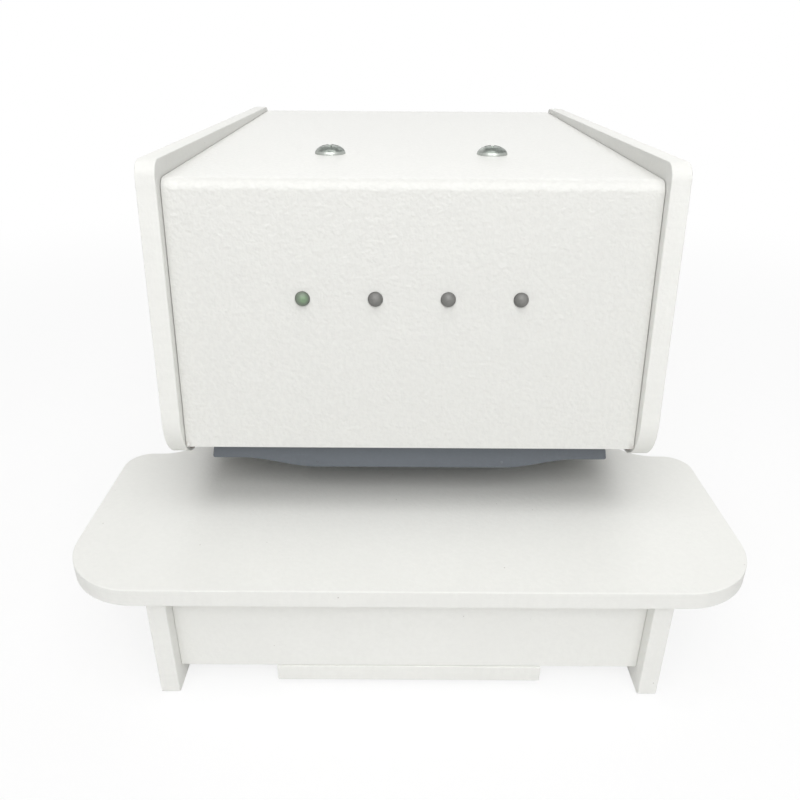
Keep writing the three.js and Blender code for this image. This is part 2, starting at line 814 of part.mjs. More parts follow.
const magazineWidth = 16;
const magazineWall = 1.2;
const magazineDrop = 9;
const magazineLength = 119.7;
const magazineFrontOffset = 1.8;
const ribWidth = 11.2;
const stapleLeg = 6;
const stapleWire = 0.6;
const ribHeight = stapleLeg - stapleWire;
const bladeWidth = 12.2;
const bladeGap = 0.3;
const magazineBottom = headBottom - magazineDrop;
const magazineFront = bladeFront - magazineFrontOffset;
const channelFloor = magazineBottom + magazineWall;
const ribTop = channelFloor + ribHeight;
const slotFront = magazineFront + magazineWall;
const slotBack = bladeFront + bladeThick + bladeGap * 2;
const magazineEnd = magazineFront + magazineLength;

function magazine(side) {
  const x = (side * staplePitch) / 2;
  const half = magazineWidth / 2;
  const inside = half - magazineWall;
  const channel = box([x - inside, x + inside], [slotFront, magazineEnd - magazineWall],
    [channelFloor, carriageBottom + cutOverrun]);
  const outside = box([x - half, x + half], [magazineFront, magazineEnd], [magazineBottom, carriageBottom]);
  const shell = cut(outside, [channel]);
  const rib = box([x - ribWidth / 2, x + ribWidth / 2], [slotBack, magazineEnd - magazineWall / 2],
    [channelFloor - magazineWall / 2, ribTop]);
  const exit = box([x - stapleWidth / 2 - bladeGap, x + stapleWidth / 2 + bladeGap], [slotFront, slotBack],
    [magazineBottom - cutOverrun, ribTop]);
  return cut(join([shell, rib]), [exit]);
}

const stripLength = 50;
const stripFront = slotBack + seatGap;
const stripBack = stripFront + stripLength;

function stapleStrip(side) {
  const x = (side * staplePitch) / 2;
  const half = stapleWidth / 2;
  const top = ribTop + seatGap + stapleWire;
  const outline = roundedShape([
    [top - stapleLeg, x - half], [top, x - half], [top, x + half], [top - stapleLeg, x + half],
    [top - stapleLeg, x + half - stapleWire], [top - stapleWire, x + half - stapleWire],
    [top - stapleWire, x - half + stapleWire], [top - stapleLeg, x - half + stapleWire],
  ]);
  return alongY(outline, stripFront, stripBack);
}

const pusherLength = 12;
const pusherHeight = 15;
const pusherTabHeight = 16;
const pusherTabThick = 2.5;
const pusherTabWidth = 9;
const pusherTop = magazineBottom + pusherHeight;
const pusherTabTop = pusherTop + pusherTabHeight;
const pusherFront = stripBack + seatGap;
const pusherBack = pusherFront + pusherLength;
const pusherSpringRadius = 2.6;
const pusherSpringWire = 0.45;
const pusherSpringTurns = 9;

function staplePusher(side) {
  const x = (side * staplePitch) / 2;
  const half = stapleWidth / 2;
  const ribGap = ribWidth / 2 + seatGap;
  const body = box([x - half, x + half], [pusherFront, pusherBack], [channelFloor + seatGap, pusherTop]);
  const tunnel = box([x - ribGap, x + ribGap], [pusherFront - cutOverrun, pusherBack + cutOverrun],
    [channelFloor - cutOverrun, ribTop + seatGap]);
  const tabHalf = pusherTabWidth / 2;
  const tab = box([x - tabHalf, x + tabHalf], [pusherBack - pusherTabThick, pusherBack],
    [pusherTop - joinDepth, pusherTabTop]);
  return join([cut(body, [tunnel]), tab]);
}

function pusherSpring(side) {
  const from = pusherBack + seatGap;
  const to = magazineEnd - magazineWall - seatGap;
  const geometry = coil(pusherSpringRadius, pusherSpringWire, to - from, pusherSpringTurns);
  const height = ribTop + seatGap * 2 + pusherSpringRadius + pusherSpringWire;
  return geometry.rotateX(-quarterTurn).translate((side * staplePitch) / 2, from, height);
}

// Driver bar with its blades, roller and springs

const barRodGap = 12;
const barCentreHalf = 16;
const barCentreDrop = 13.5;
const barDrop = 6;
const barThick = 8;
const barFloor = 5;
const cheekRise = 8;
const barDepth = 47.9;
const rollerSideGap = 2;
const bladeRise = 9;
const driveSpringInset = 9;
const driveSpringOffset = 22.9;
const driveSpringRadius = 5;
const driveSpringWire = 0.9;
const driveSpringTurns = 4;
const returnSpringRadius = 7.2;
const returnSpringWire = 0.8;
const returnSpringTurns = 8;
const barCentreBottom = rollerZ - barCentreDrop;
const barBottom = rollerZ - barDrop;
const cheekTop = rollerZ + cheekRise;
const bladeBottom = magazineBottom + bladeRise;
const barHalf = rodHalfSpan - barRodGap;
const driveSpringX = barHalf - driveSpringInset;
const barFront = bladeFront + bladeThick;
const slotHalf = rollerWidth / 2 + rollerSideGap;

function driverBar() {
  const top = barBottom + barThick;
  const floor = barCentreBottom + barFloor;
  const outline = roundedShape([
    [barBottom, -barHalf], [barBottom, -barCentreHalf],
    [barCentreBottom, -barCentreHalf], [barCentreBottom, barCentreHalf],
    [barBottom, barCentreHalf], [barBottom, barHalf], [top, barHalf], [top, barCentreHalf],
    [cheekTop, barCentreHalf], [cheekTop, slotHalf], [floor, slotHalf],
    [floor, -slotHalf], [cheekTop, -slotHalf], [cheekTop, -barCentreHalf],
    [top, -barCentreHalf], [top, -barHalf],
  ]);
  return cut(alongY(outline, barFront, barFront + barDepth), [
    rodX(camY, rollerZ, rollerPinRadius + seatGap, -barCentreHalf - cutOverrun, barCentreHalf + cutOverrun),
  ]);
}

function driverBlade(side) {
  const x = (side * staplePitch) / 2;
  return box([x - bladeWidth / 2, x + bladeWidth / 2], [bladeFront, barFront], [bladeBottom, rollerZ]);
}

const rollerPin = () => rodX(camY, rollerZ, rollerPinRadius, -barCentreHalf, barCentreHalf);

const camRoller = () => alongX(ringShape(camY, rollerZ, rollerRadius, rollerPinRadius + seatGap, fineSides),
  -rollerWidth / 2, rollerWidth / 2);

function driveSpring(side) {
  const height = barBottom - carriageTop - seatGap * 2;
  return coil(driveSpringRadius, driveSpringWire, height, driveSpringTurns)
    .translate(side * driveSpringX, bladeFront + driveSpringOffset, carriageTop + seatGap);
}

function returnSpring(side) {
  const height = bridgeBottom - bossTop - seatGap * 2;
  return coil(returnSpringRadius, returnSpringWire, height, returnSpringTurns)
    .translate(side * rodHalfSpan, guideY, bossTop + seatGap);
}

// Cover with its hinge, lamps and fasteners

const coverBend = 5;
const coverEdgeGap = 0.5;
const coverRearGap = 0.5;
const coverHalf = innerHalf - coverEdgeGap;
const barrelLength = 30;
const barrelInset = 34;
const barrelX = innerHalf - barrelInset;
const lampPitch = 30;
const lampCount = 4;
const lampDrop = 47;
const lampZ = coverTop - lampDrop;
const lampRadius = 3;
const lampDomeProud = 2.6;
const lampFlange = 0.9;
const lampFlangeThick = 1;
const lampHoleGap = 0.3;
const lampBoardGap = 4;
const lampBoardThick = 1.6;
const lampBoardHeight = 14;
const lampBoardMargin = 10;
const lampPostInset = 3.4;
const lampDomeSteps = 3;

// The frame of a lamp: its Z looks out of the cover's front, square to the sheet.
function lampMatrix(x) {
  return new THREE.Matrix4().makeTranslation(x, coverFrontAt(lampZ), lampZ)
    .multiply(new THREE.Matrix4().makeRotationX(quarterTurn - headLean));
}

const lampX = (index) => (index - (lampCount - 1) / 2) * lampPitch;

function cover() {
  const bendInner = coverBend - sheetThick;
  const rear = rearY - coverRearGap;
  const sheet = alongX(roundedShape([
    [coverFrontAt(coverBottom), coverBottom], [coverInsideAt(coverBottom), coverBottom],
    [coverInsideAt(coverInner), coverInner, bendInner], [rear, coverInner], [rear, coverTop],
    [coverFrontAt(coverTop), coverTop, coverBend],
  ]), -coverHalf, coverHalf);
  const barrels = Object.values(sides).map((side) => rodX(hingeY, hingeZ, barrelRadius,
    side * barrelX - barrelLength / 2, side * barrelX + barrelLength / 2, fineSides));
  const bore = rodX(hingeY, hingeZ, hingeRodRadius + seatGap, -halfWidth, halfWidth);
  const lampHoles = Array.from({ length: lampCount }, (_, index) => {
    const hole = rodZ(0, 0, lampRadius + lampHoleGap, -cutOverrun, cutOverrun, fineSides);
    return hole.applyMatrix4(lampMatrix(lampX(index)));
  });
  const fastenerHoles = Object.values(sides).map((side) => rodZ(side * fastenerHalfSpan, fastenerY,
    fastenerShankRadius + seatGap, coverInner - cutOverrun, coverTop + cutOverrun));
  return cut(join([sheet, ...barrels]), [bore, ...lampHoles, ...fastenerHoles]);
}

const coverHingeRod = () => rodX(hingeY, hingeZ, hingeRodRadius, -innerHalf - hingeSeatDepth + seatGap,
  innerHalf + hingeSeatDepth - seatGap);

// Points of a dome's profile as [radius, height], from its rim up to the axis
function domeProfile(radius, height, base, steps) {
  const points = [];
  for (let step = 0; step <= steps; step += 1) {
    const angle = (quarterTurn * step) / steps;
    points.push([radius * Math.cos(angle), base + height * Math.sin(angle)]);
  }
  points[steps][0] = 0;
  return points;
}

function lamp(index) {
  const inside = -sheetThick - seatGap;
  const flange = lampRadius + lampFlange;
  const geometry = turned([
    [0, inside - lampBoardGap + seatGap * 2], [lampRadius, inside - lampBoardGap + seatGap * 2],
    [lampRadius, inside - lampFlangeThick], [flange, inside - lampFlangeThick], [flange, inside],
    [lampRadius, inside], ...domeProfile(lampRadius, lampDomeProud, 0, lampDomeSteps),
  ], fineSides);
  geometry.applyMatrix4(lampMatrix(lampX(index)));
  return geometry;
}

function lampBoard() {
  const half = lampX(lampCount - 1) + lampBoardMargin;
  const top = -sheetThick - lampBoardGap;
  const board = box([-half, half], [-lampBoardHeight / 2, lampBoardHeight / 2], [top - lampBoardThick, top]);
  const posts = Object.values(sides).map((side) => rodZ(side * (half - lampPostInset), 0,
    lampRadius / 2, top - joinDepth, -sheetThick - seatGap, coarseSides / 2));
  return join([board, ...posts]).applyMatrix4(lampMatrix(0));
}

const recessLong = 8;
const recessWide = 1.6;
const recessDepth = 1.8;
const fastenerDomeSteps = 4;

function coverFastener(side) {
  const x = side * fastenerHalfSpan;
  const head = turned([
    [0, -fastenerShankLength], [fastenerShankRadius, -fastenerShankLength], [fastenerShankRadius, 0],
    ...domeProfile(fastenerHeadRadius, fastenerHeadHeight, 0, fastenerDomeSteps),
  ], fineSides);
  const bottom = fastenerHeadHeight - recessDepth;
  const top = fastenerHeadHeight + cutOverrun;
  const arm = (long, wide) => box([-long / 2, long / 2], [-wide / 2, wide / 2], [bottom, top]);
  const recessed = cut(head, [arm(recessLong, recessWide), arm(recessWide, recessLong)]);
  return recessed.translate(x, fastenerY, coverTop);
}

function fastenerSocket(side) {
  const ring = ringShape(side * fastenerHalfSpan, fastenerY, socketRadius, socketBore, coarseSides);
  return alongZ(ring, bridgeTop, coverInner);
}

// Paper trigger under the worktable

const triggerPivotOffset = 27.9;
const triggerPivotDrop = 4.5;
const triggerProud = 11.5;
const triggerTailDrop = 10;
const triggerEye = 3.6;
const triggerAxleRadius = 1.5;
const triggerCorner = 1.8;
const bracketFrontOffset = 8.9;
const bracketBackOffset = 36.9;
const bracketDrop = 20.5;
const bracketHalf = 6;
const bracketWall = 2;
const paperSwitchFrontOffset = 11.4;
const paperSwitchBackOffset = 22.4;
const paperSwitchRise = 1;
const paperSwitchHeight = 10;
const triggerY = bladeFront + triggerPivotOffset;
const triggerPivotZ = tableBottom - triggerPivotDrop;
const triggerTop = tableTop + triggerProud;
const triggerTail = triggerPivotZ - triggerTailDrop;
const bracketBottom = tableBottom - bracketDrop;
const paperSwitchBottom = bracketBottom + paperSwitchRise;
const paperSwitchTop = paperSwitchBottom + paperSwitchHeight;

function triggerBracket() {
  const inner = bracketHalf - bracketWall;
  const from = bladeFront + bracketFrontOffset;
  const to = bladeFront + bracketBackOffset;
  const slotHalfWidth = triggerThick / 2 + triggerSlotGap;
  const web = tableBottom - bracketWall;
  const reach = bracketHalf + cutOverrun;
  return cut(box([-bracketHalf, bracketHalf], [from, to], [bracketBottom, tableBottom]), [
    box([-inner, inner], [from - cutOverrun, to + cutOverrun], [bracketBottom - cutOverrun, web]),
    box([-slotHalfWidth, slotHalfWidth], [bladeFront + triggerSlotFront, to + cutOverrun],
      [web - bracketWall, tableBottom + cutOverrun]),
    rodX(triggerY, triggerPivotZ, triggerAxleRadius + seatGap, -reach, reach),
  ]);
}

function paperTrigger() {
  const half = triggerThick / 2;
  const lever = roundedShape([
    [triggerY - half, triggerTail, triggerCorner], [triggerY + half, triggerTail, triggerCorner],
    [triggerY + half, triggerTop, triggerCorner], [triggerY - half, triggerTop, triggerCorner],
  ], noseCornerSteps);
  return join([
    alongX(lever, -half, half),
    rodX(triggerY, triggerPivotZ, triggerEye, -half, half),
    rodX(triggerY, triggerPivotZ, triggerAxleRadius, -bracketHalf, bracketHalf),
  ]);
}

function paperSwitch() {
  const inner = bracketHalf - bracketWall;
  return box([-inner, inner], [bladeFront + paperSwitchFrontOffset, bladeFront + paperSwitchBackOffset],
    [paperSwitchBottom, paperSwitchTop]);
}

// Electrics

const supplyWidth = 99;
const supplyDepth = 82;
const supplyHeight = 30;
const supplyRearGap = 32;
const terminalHeight = 8;
const terminalDepth = 14;
const boardSideGap = 14;
const boardWidth = (mechanismHalf - footWidth - boardSideGap) * 2;
const boardDepth = 72;
const boardRearGap = 12;
const boardPost = 7;
const boardPostRadius = 2.5;
const boardPostInset = 5;
const relayHeight = 15;
const chipHeight = 4;
const plugHeight = 9;
const relayShare = { x: 0, y: 0.2, width: 0.2, depth: 0.26 };
const chipShare = { x: -0.3, y: -0.05, width: 0.26, depth: 0.16 };
const plugShare = { x: 0.32, y: 0.28, width: 0.24, depth: 0.12 };

function powerSupply() {
  const to = rearPanelFront - supplyRearGap;
  const from = to - supplyDepth;
  const top = panelBottom + supplyHeight;
  const half = supplyWidth / 2;
  const terminalHalf = half - terminalDepth;
  return cut(box([-half, half], [from, to], [panelBottom, top]), [
    box([-terminalHalf, terminalHalf], [to - terminalDepth, to + cutOverrun],
      [top - terminalHeight, top + cutOverrun]),
  ]);
}

function controlBoard() {
  const boardFront = rearPanelFront - boardRearGap - boardDepth;
  const bottom = tableTop + boardPost;
  const top = bottom + lampBoardThick;
  const middleY = boardFront + boardDepth / 2;
  const panel = box([-boardWidth / 2, boardWidth / 2], [boardFront, boardFront + boardDepth], [bottom, top]);
  const pairs = [[relayShare, relayHeight], [chipShare, chipHeight], [plugShare, plugHeight]];
  const parts = pairs.map(([share, height]) => {
    const x = share.x * boardWidth;
    const y = middleY + share.y * boardDepth;
    const halfX = (share.width * boardWidth) / 2;
    const halfY = (share.depth * boardDepth) / 2;
    return box([x - halfX, x + halfX], [y - halfY, y + halfY], [top - joinDepth, top + height]);
  });
  const posts = Object.values(sides).flatMap((side) => Object.values(sides).map((end) =>
    rodZ(side * (boardWidth / 2 - boardPostInset), middleY + end * (boardDepth / 2 - boardPostInset),
      boardPostRadius, tableTop, bottom + joinDepth, coarseSides / 2)));
  return join([panel, ...parts, ...posts]);
}

// Assembly

Object.entries(sides).forEach(([name, side]) => {
  place(`side_plate_${name}`, sidePlate(side), whiteBoard);
  place(`mechanism_plate_${name}`, mechanismPlate(side), plainSteel);
  place(`guide_rod_${name}`, guideRod(side), brightSteel);
  place(`cam_bush_${name}`, camBush(side), brass);
  place(`fastener_socket_${name}`, fastenerSocket(side), aluminium);
  place(`cover_fastener_${name}`, coverFastener(side), brightSteel);
  place(`magazine_${name}`, magazine(side), plainSteel);
  place(`staple_strip_${name}`, stapleStrip(side), brightSteel);
  place(`staple_pusher_${name}`, staplePusher(side), blackPlastic);
  place(`pusher_spring_${name}`, pusherSpring(side), plainSteel);
  place(`driver_blade_${name}`, driverBlade(side), brightSteel);
  place(`drive_spring_${name}`, driveSpring(side), plainSteel);
  place(`return_spring_${name}`, returnSpring(side), plainSteel);
});

place('worktable', worktable(), whiteBoard);
place('anvil_plate', anvilPlate(), brightSteel);
place('base_front_panel', baseFrontPanel(), whiteBoard);
place('bottom_plate', bottomPlate(), whiteBoard);
place('paper_stop', paperStop(), whiteBoard);
place('inner_shelf', innerShelf(), whiteBoard);
place('rear_panel', rearPanel(), whiteBoard);
place('mains_inlet', mainsInlet(), blackPlastic);
place('switch_frame', switchFrame(), blackPlastic);
powerRocker();
place('bridge_plate', bridgePlate(), plainSteel);
place('cam_shaft', camShaft(), brightSteel);
place('drive_cam', driveCam(), plainSteel);
place('cam_gear', camGear(), plainSteel);
place('motor_pinion', motorPinion(), brass);
place('gearbox', gearbox(), aluminium);
place('motor', motor(), plainSteel);
place('press_carriage', pressCarriage(), aluminium);
place('nose_bar', noseBar(), darkPlastic);
place('driver_bar', driverBar(), plainSteel);
place('roller_pin', rollerPin(), brightSteel);
place('cam_roller', camRoller(), brightSteel);
place('cover', cover(), whitePowder);
place('cover_hinge_rod', coverHingeRod(), brightSteel);
for (let index = 0; index < lampCount; index += 1) {
  place(`lamp_${index + 1}`, lamp(index), index === 0 ? greenLens : smokedLens);
}
place('lamp_board', lampBoard(), greenBoard);
place('trigger_bracket', triggerBracket(), plainSteel);
place('paper_trigger', paperTrigger(), whitePlastic);
place('paper_switch', paperSwitch(), blackPlastic);
place('power_supply', powerSupply(), aluminium);
place('control_board', controlBoard(), greenBoard);

export default stapler;
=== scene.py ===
"""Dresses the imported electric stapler: boards, cover, press, drive and electrics, and the studio round it."""

import logging
import math
from collections.abc import Iterable, Mapping, Sequence
from dataclasses import dataclass
from enum import Enum
from functools import lru_cache
from typing import Union

import bmesh
import bpy
from bmesh.types import BMesh
from mathutils import Matrix, Vector


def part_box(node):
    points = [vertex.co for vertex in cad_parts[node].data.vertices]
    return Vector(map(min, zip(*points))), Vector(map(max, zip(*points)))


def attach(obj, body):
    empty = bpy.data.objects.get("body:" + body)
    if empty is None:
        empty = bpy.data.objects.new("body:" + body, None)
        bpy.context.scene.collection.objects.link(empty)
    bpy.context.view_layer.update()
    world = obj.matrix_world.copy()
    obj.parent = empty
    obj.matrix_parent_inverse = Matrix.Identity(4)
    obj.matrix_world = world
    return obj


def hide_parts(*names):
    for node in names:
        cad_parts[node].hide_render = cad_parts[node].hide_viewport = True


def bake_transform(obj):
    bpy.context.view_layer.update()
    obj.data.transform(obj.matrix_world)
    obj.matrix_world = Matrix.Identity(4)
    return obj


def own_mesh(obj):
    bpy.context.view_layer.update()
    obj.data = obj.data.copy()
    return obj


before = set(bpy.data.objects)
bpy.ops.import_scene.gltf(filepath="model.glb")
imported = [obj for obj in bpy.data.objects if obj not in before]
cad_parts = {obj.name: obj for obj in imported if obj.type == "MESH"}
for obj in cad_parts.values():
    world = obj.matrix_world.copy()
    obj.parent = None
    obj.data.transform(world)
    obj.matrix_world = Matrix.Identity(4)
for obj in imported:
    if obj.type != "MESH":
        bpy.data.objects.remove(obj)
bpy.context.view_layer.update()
log = logging.getLogger("stapler")

MILLI = 0.001
WELD = 0.002
CREASE = math.radians(32)
FLATNESS = math.radians(0.6)
COPLANAR = math.radians(1)
SQUARE = math.radians(90)
UP, REARWARD, FORWARD = (0, 0, 1), (0, 1, 0), (0, -1, 0)
Colour = tuple[float, float, float]
Point = Sequence[float]
Place = tuple[Point, Point, float]


def paint_colour(red: int, green: int, blue: int) -> Colour:
    """Turns a colour seen on a screen into the linear light that shaders take.

    Args:
        red: Red from 0 to 255.
        green: Green from 0 to 255.
        blue: Blue from 0 to 255.

    Returns:
        The three linear values.
    """
    def linear(level: int) -> float:
        """The linear value of one level."""
        share = level / 255
        return share / 12.92 if share <= 0.04045 else ((share + 0.055) / 1.055) ** 2.4
    return linear(red), linear(green), linear(blue)


class Axis(Enum):
    """The direction of a board's thickness or of a turned piece's axle."""

    X = 0
    Y = 1
    Z = 2

    def place(self, across: float, up: float, along: float) -> Vector:
        """The point (across, up) of the plane square to this axis, at a distance along it."""
        spots = {Axis.X: (along, across, up), Axis.Y: (across, along, up), Axis.Z: (across, up, along)}
        return Vector(spots[self])

    def from_z(self) -> Matrix:
        """The turn that lays Z along this axis."""
        turns = {Axis.X: (SQUARE, 4, "Y"), Axis.Y: (-SQUARE, 4, "X"), Axis.Z: (0.0, 4, "Z")}
        return Matrix.Rotation(*turns[self])


class Side(Enum):
    """The left and right hand of the machine, seen from the front."""

    LEFT = -1
    RIGHT = 1

    @property
    def word(self) -> str:
        """The side's name as the nodes spell it."""
        return self.name.lower()


# Shaders


class Signal:
    """A value inside a shader that Python's operators can reckon with."""

    def __init__(self, graph: "Graph", socket: bpy.types.NodeSocket) -> None:
        """Keeps the graph and the output socket that the value comes from."""
        self.graph = graph
        self.socket = socket

    def _math(self, operation: str, other: "Value", swapped: bool = False) -> "Signal":
        """Adds one Math node.

        Args:
            operation: The node's operation.
            other: The other operand.
            swapped: Whether the other operand comes first.

        Returns:
            The node's result.
        """
        pair = (other, self) if swapped else (self, other)
        return self.graph.value("ShaderNodeMath", {"operation": operation}, dict(enumerate(pair)))

    def __add__(self, other: "Value") -> "Signal":
        """Sum."""
        return self._math("ADD", other)

    __radd__ = __add__

    def __sub__(self, other: "Value") -> "Signal":
        """Difference."""
        return self._math("SUBTRACT", other)

    def __rsub__(self, other: "Value") -> "Signal":
        """Difference from a number."""
        return self._math("SUBTRACT", other, swapped=True)

    def __mul__(self, other: "Value") -> "Signal":
        """Product."""
        return self._math("MULTIPLY", other)

    __rmul__ = __mul__

    def __abs__(self) -> "Signal":
        """Size without its sign."""
        return self._math("ABSOLUTE", 0.0)

    def __pow__(self, other: "Value") -> "Signal":
        """Power."""
        return self._math("POWER", other)

    def rise(self, low: float, high: float) -> "Signal":
        """Goes smoothly from 0 at low to 1 at high."""
        inputs = {"Value": self, "From Min": low, "From Max": high}
        return self.graph.value("ShaderNodeMapRange", {"interpolation_type": "SMOOTHSTEP"}, inputs)

    def part(self, axis: Axis) -> "Signal":
        """One coordinate of a vector."""
        return self.graph.value("ShaderNodeSeparateXYZ", inputs={0: self}, output=axis.value)

    def from_middle(self, pitch: float) -> "Signal":
        """How far a coordinate lies from the middle of its cell, in a row of cells of one pitch."""
        cell = self.graph.value("ShaderNodeMath", {"operation": "WRAP"}, {0: self, 1: pitch, 2: 0.0})
        return cell - pitch / 2

    def distance(self, other: "Signal") -> "Signal":
        """How far a point lies from zero, by this coordinate and another."""
        return (self * self + other * other) ** 0.5


Value = Union[Signal, float, Sequence[float]]


class Graph:
    """The nodes of one material or of the world."""

    def __init__(self, tree: bpy.types.NodeTree) -> None:
        """Empties the tree and adds the coordinates that every pattern reads.

        Args:
            tree: The nodes of a material or of the world.
        """
        self.tree = tree
        tree.nodes.clear()
        places = self.node("ShaderNodeTexCoord")
        self.position = Signal(self, places.outputs["Object"])
        self.normal = Signal(self, places.outputs["Normal"])

    def node(self, kind: str, settings: Mapping | None = None,
             inputs: Mapping | None = None) -> bpy.types.Node:
        """Adds one node.

        Args:
            kind: The node's type.
            settings: Its properties, which are set first.
            inputs: Values or signals for its sockets, by name or number.

        Returns:
            The node.
        """
        made = self.tree.nodes.new(kind)
        for name, setting in (settings or {}).items():
            setattr(made, name, setting)
        for name, given in (inputs or {}).items():
            if isinstance(given, Signal):
                self.tree.links.new(given.socket, made.inputs[name])
            else:
                made.inputs[name].default_value = given
        return made

    def value(self, kind: str, settings: Mapping | None = None, inputs: Mapping | None = None,
              output: int | str = 0) -> Signal:
        """Adds one node and gives one of its outputs as a signal."""
        return Signal(self, self.node(kind, settings, inputs).outputs[output])

    def scaled(self, scale: float | Sequence[float], seed: float = 0.0, turn: float = 0.0) -> Signal:
        """The object's coordinates, scaled, turned about Z and shifted.

        Args:
            scale: One figure, or one for each axis.
            seed: The shift along every axis.
            turn: The turn in radians.

        Returns:
            The new coordinates.
        """
        each = (scale,) * 3 if isinstance(scale, (int, float)) else tuple(scale)
        return self.value("ShaderNodeMapping", inputs={
            "Vector": self.position, "Location": (seed,) * 3, "Rotation": (0.0, 0.0, turn), "Scale": each})

    def noise(self, scale: float | Sequence[float], detail: float = 2.0, seed: float = 0.0) -> Signal:
        """Soft noise from 0 to 1.

        Args:
            scale: Cells per metre, or one figure for each axis.
            detail: Octaves of finer noise.
            seed: A shift that makes this pattern unlike the others.

        Returns:
            The noise.
        """
        inputs = {"Vector": self.scaled(scale, seed), "Scale": 1.0, "Detail": detail, "Roughness": 0.55}
        return self.value("ShaderNodeTexNoise", inputs=inputs)

    def lines(self, across: float, along: float, axis: Axis | None, detail: float = 2.0,
              seed: float = 0.0) -> Signal:
        """Noise that is drawn out or packed along one axis.

        Args:
            across: Cells per metre across the axis.
            along: Cells per metre along it.
            axis: The axis, or None for noise without a direction.
            detail: Octaves of finer noise.
            seed: A shift of the pattern.

        Returns:
            The noise.
        """
        scale = [across] * 3
        if axis is not None:
            scale[axis.value] = along
        return self.noise(scale, detail, seed)

    def specks(self, per_metre: float, radius: float, seed: float = 0.0) -> Signal:
        """Scattered round specks: 1 in a speck and 0 outside.

        Args:
            per_metre: Cells per metre, each with one speck at most on the surface.
            radius: A speck's radius as a share of a cell.
            seed: A shift of the pattern.

        Returns:
            The mask.
        """
        inputs = {"Vector": self.scaled(per_metre, seed), "Scale": 1.0}
        return 1.0 - self.value("ShaderNodeTexVoronoi", inputs=inputs).rise(radius * 0.6, radius)

    def colour(self, base: Colour, layers: Iterable[tuple[Signal, Colour]]) -> Signal:
        """Lays colours over each other.

        Args:
            base: The lowest colour.
            layers: A mask and a colour each, from the lowest up.

        Returns:
            The colour that shows.
        """
        shown: Value = (*base, 1.0)
        for mask, tint in layers:
            inputs = {0: mask, 6: shown, 7: (*tint, 1.0)}
            shown = self.value("ShaderNodeMix", {"data_type": "RGBA"}, inputs, output=2)
        return shown

    def relief(self, layers: Iterable[tuple[Signal, float]]) -> Signal:
        """Stacks bumps on the surface.

        Args:
            layers: A height from 0 to 1 and the millimetres that it stands for.

        Returns:
            The surface's normal.
        """
        normal: Signal | None = None
        for height, depth in layers:
            inputs = {"Height": height, "Distance": depth * MILLI}
            if normal is not None:
                inputs["Normal"] = normal
            normal = self.value("ShaderNodeBump", inputs=inputs)
        return normal

    def surface(self, colour: Signal, roughness: Signal, bumps: Iterable[tuple[Signal, float]],
                others: Mapping[str, Value] | None = None) -> Signal:
        """The Principled shader of one finish.

        Args:
            colour: The colour that shows.
            roughness: How matt it is.
            bumps: Its relief, as heights and millimetres.
            others: Values for further sockets.

        Returns:
            The shader.
        """
        inputs = {"Base Color": colour, "Roughness": roughness, "Normal": self.relief(bumps)}
        return self.value("ShaderNodeBsdfPrincipled", inputs={**inputs, **(others or {})})

    def finish(self, shader: Signal, kind: str = "ShaderNodeOutputMaterial") -> None:
        """Joins a shader to the output."""
        self.node(kind, inputs={"Surface": shader})


def new_material(name: str) -> tuple[bpy.types.Material, Graph]:
    """Makes a material that is still empty.

    Args:
        name: The material's name.

    Returns:
        The material and the graph of its nodes.
    """
    material = bpy.data.materials.new(name)
    material.use_nodes = True
    return material, Graph(material.node_tree)


@dataclass(frozen=True)
class Finish:
    """What every finish of the machine has: its name, its slot in the record, a colour and a roughness."""

    name: str
    slot: str
    colour: Colour
    roughness: float

    def material(self) -> bpy.types.Material:
        """The finish's material, made on first use.

        Returns:
            The material.
        """
        # The CAD's own materials are there already, under the slots' names, so no finish has one of those.
        made = bpy.data.materials.get(self.name)
        if made is None:
            made, graph = new_material(self.name)
            graph.finish(self.shader(graph))
        return made

    def shader(self, graph: Graph) -> Signal:
        """Builds the shader of this finish in a graph."""
        raise NotImplementedError

    def shade(self, share: float) -> Colour:
        """The finish's colour at a share of its brightness."""
        red, green, blue = self.colour
        return red * share, green * share, blue * share


@dataclass(frozen=True)
class BoardFinish(Finish):
    """Dense foamed board with a smooth skin and routed edges; its scales are cells per metre."""

    thickness: Axis = Axis.X
    cutter: float = 300.0
    plies: float = 900.0
    drawn_out: float = 14.0
    peel: float = 520.0
    grain: float = 1300.0
    gloss: float = 0.42

    def shader(self, graph: Graph) -> Signal:
        """Skin with fine grain and specks, and cutter marks on the edges.

        Args:
            graph: The material's nodes.

        Returns:
            The shader.
        """
        cut = 1.0 - abs(graph.normal.part(self.thickness)).rise(0.5, 0.8)
        marks = graph.lines(self.cutter, self.drawn_out, self.thickness, 2.0, 3.1)
        plies = graph.lines(self.drawn_out, self.plies, self.thickness, 1.0, 7.7)
        cloud = graph.noise(16.0, 3.0, 1.3)
        grain = graph.noise(self.grain)
        peel = graph.noise(self.peel, 2.0, 5.0)
        pits = graph.specks(95.0, 0.035, 2.0)
        dust = graph.specks(300.0, 0.05, 9.0)
        colour = graph.colour(self.colour, [
            (cloud.rise(0.35, 0.75) * 0.6, self.shade(0.965)),
            (peel.rise(0.3, 0.7) * 0.5, self.shade(0.96)),
            (cut * marks.rise(0.3, 0.75) * 0.5, self.shade(0.95)),
            (cut * plies.rise(0.4, 0.75) * 0.35, self.shade(0.95)),
            (dust * 0.22, self.shade(0.75)),
            (pits * 0.5, paint_colour(150, 140, 130)),
        ])
        roughness = self.roughness + (grain - 0.5) * 0.12 + cut * 0.18
        bumps = [(peel, 0.14), (grain, 0.02), (cut * marks, 0.04), (1.0 - pits, 0.05)]
        return graph.surface(colour, roughness, bumps, {"Specular IOR Level": self.gloss})


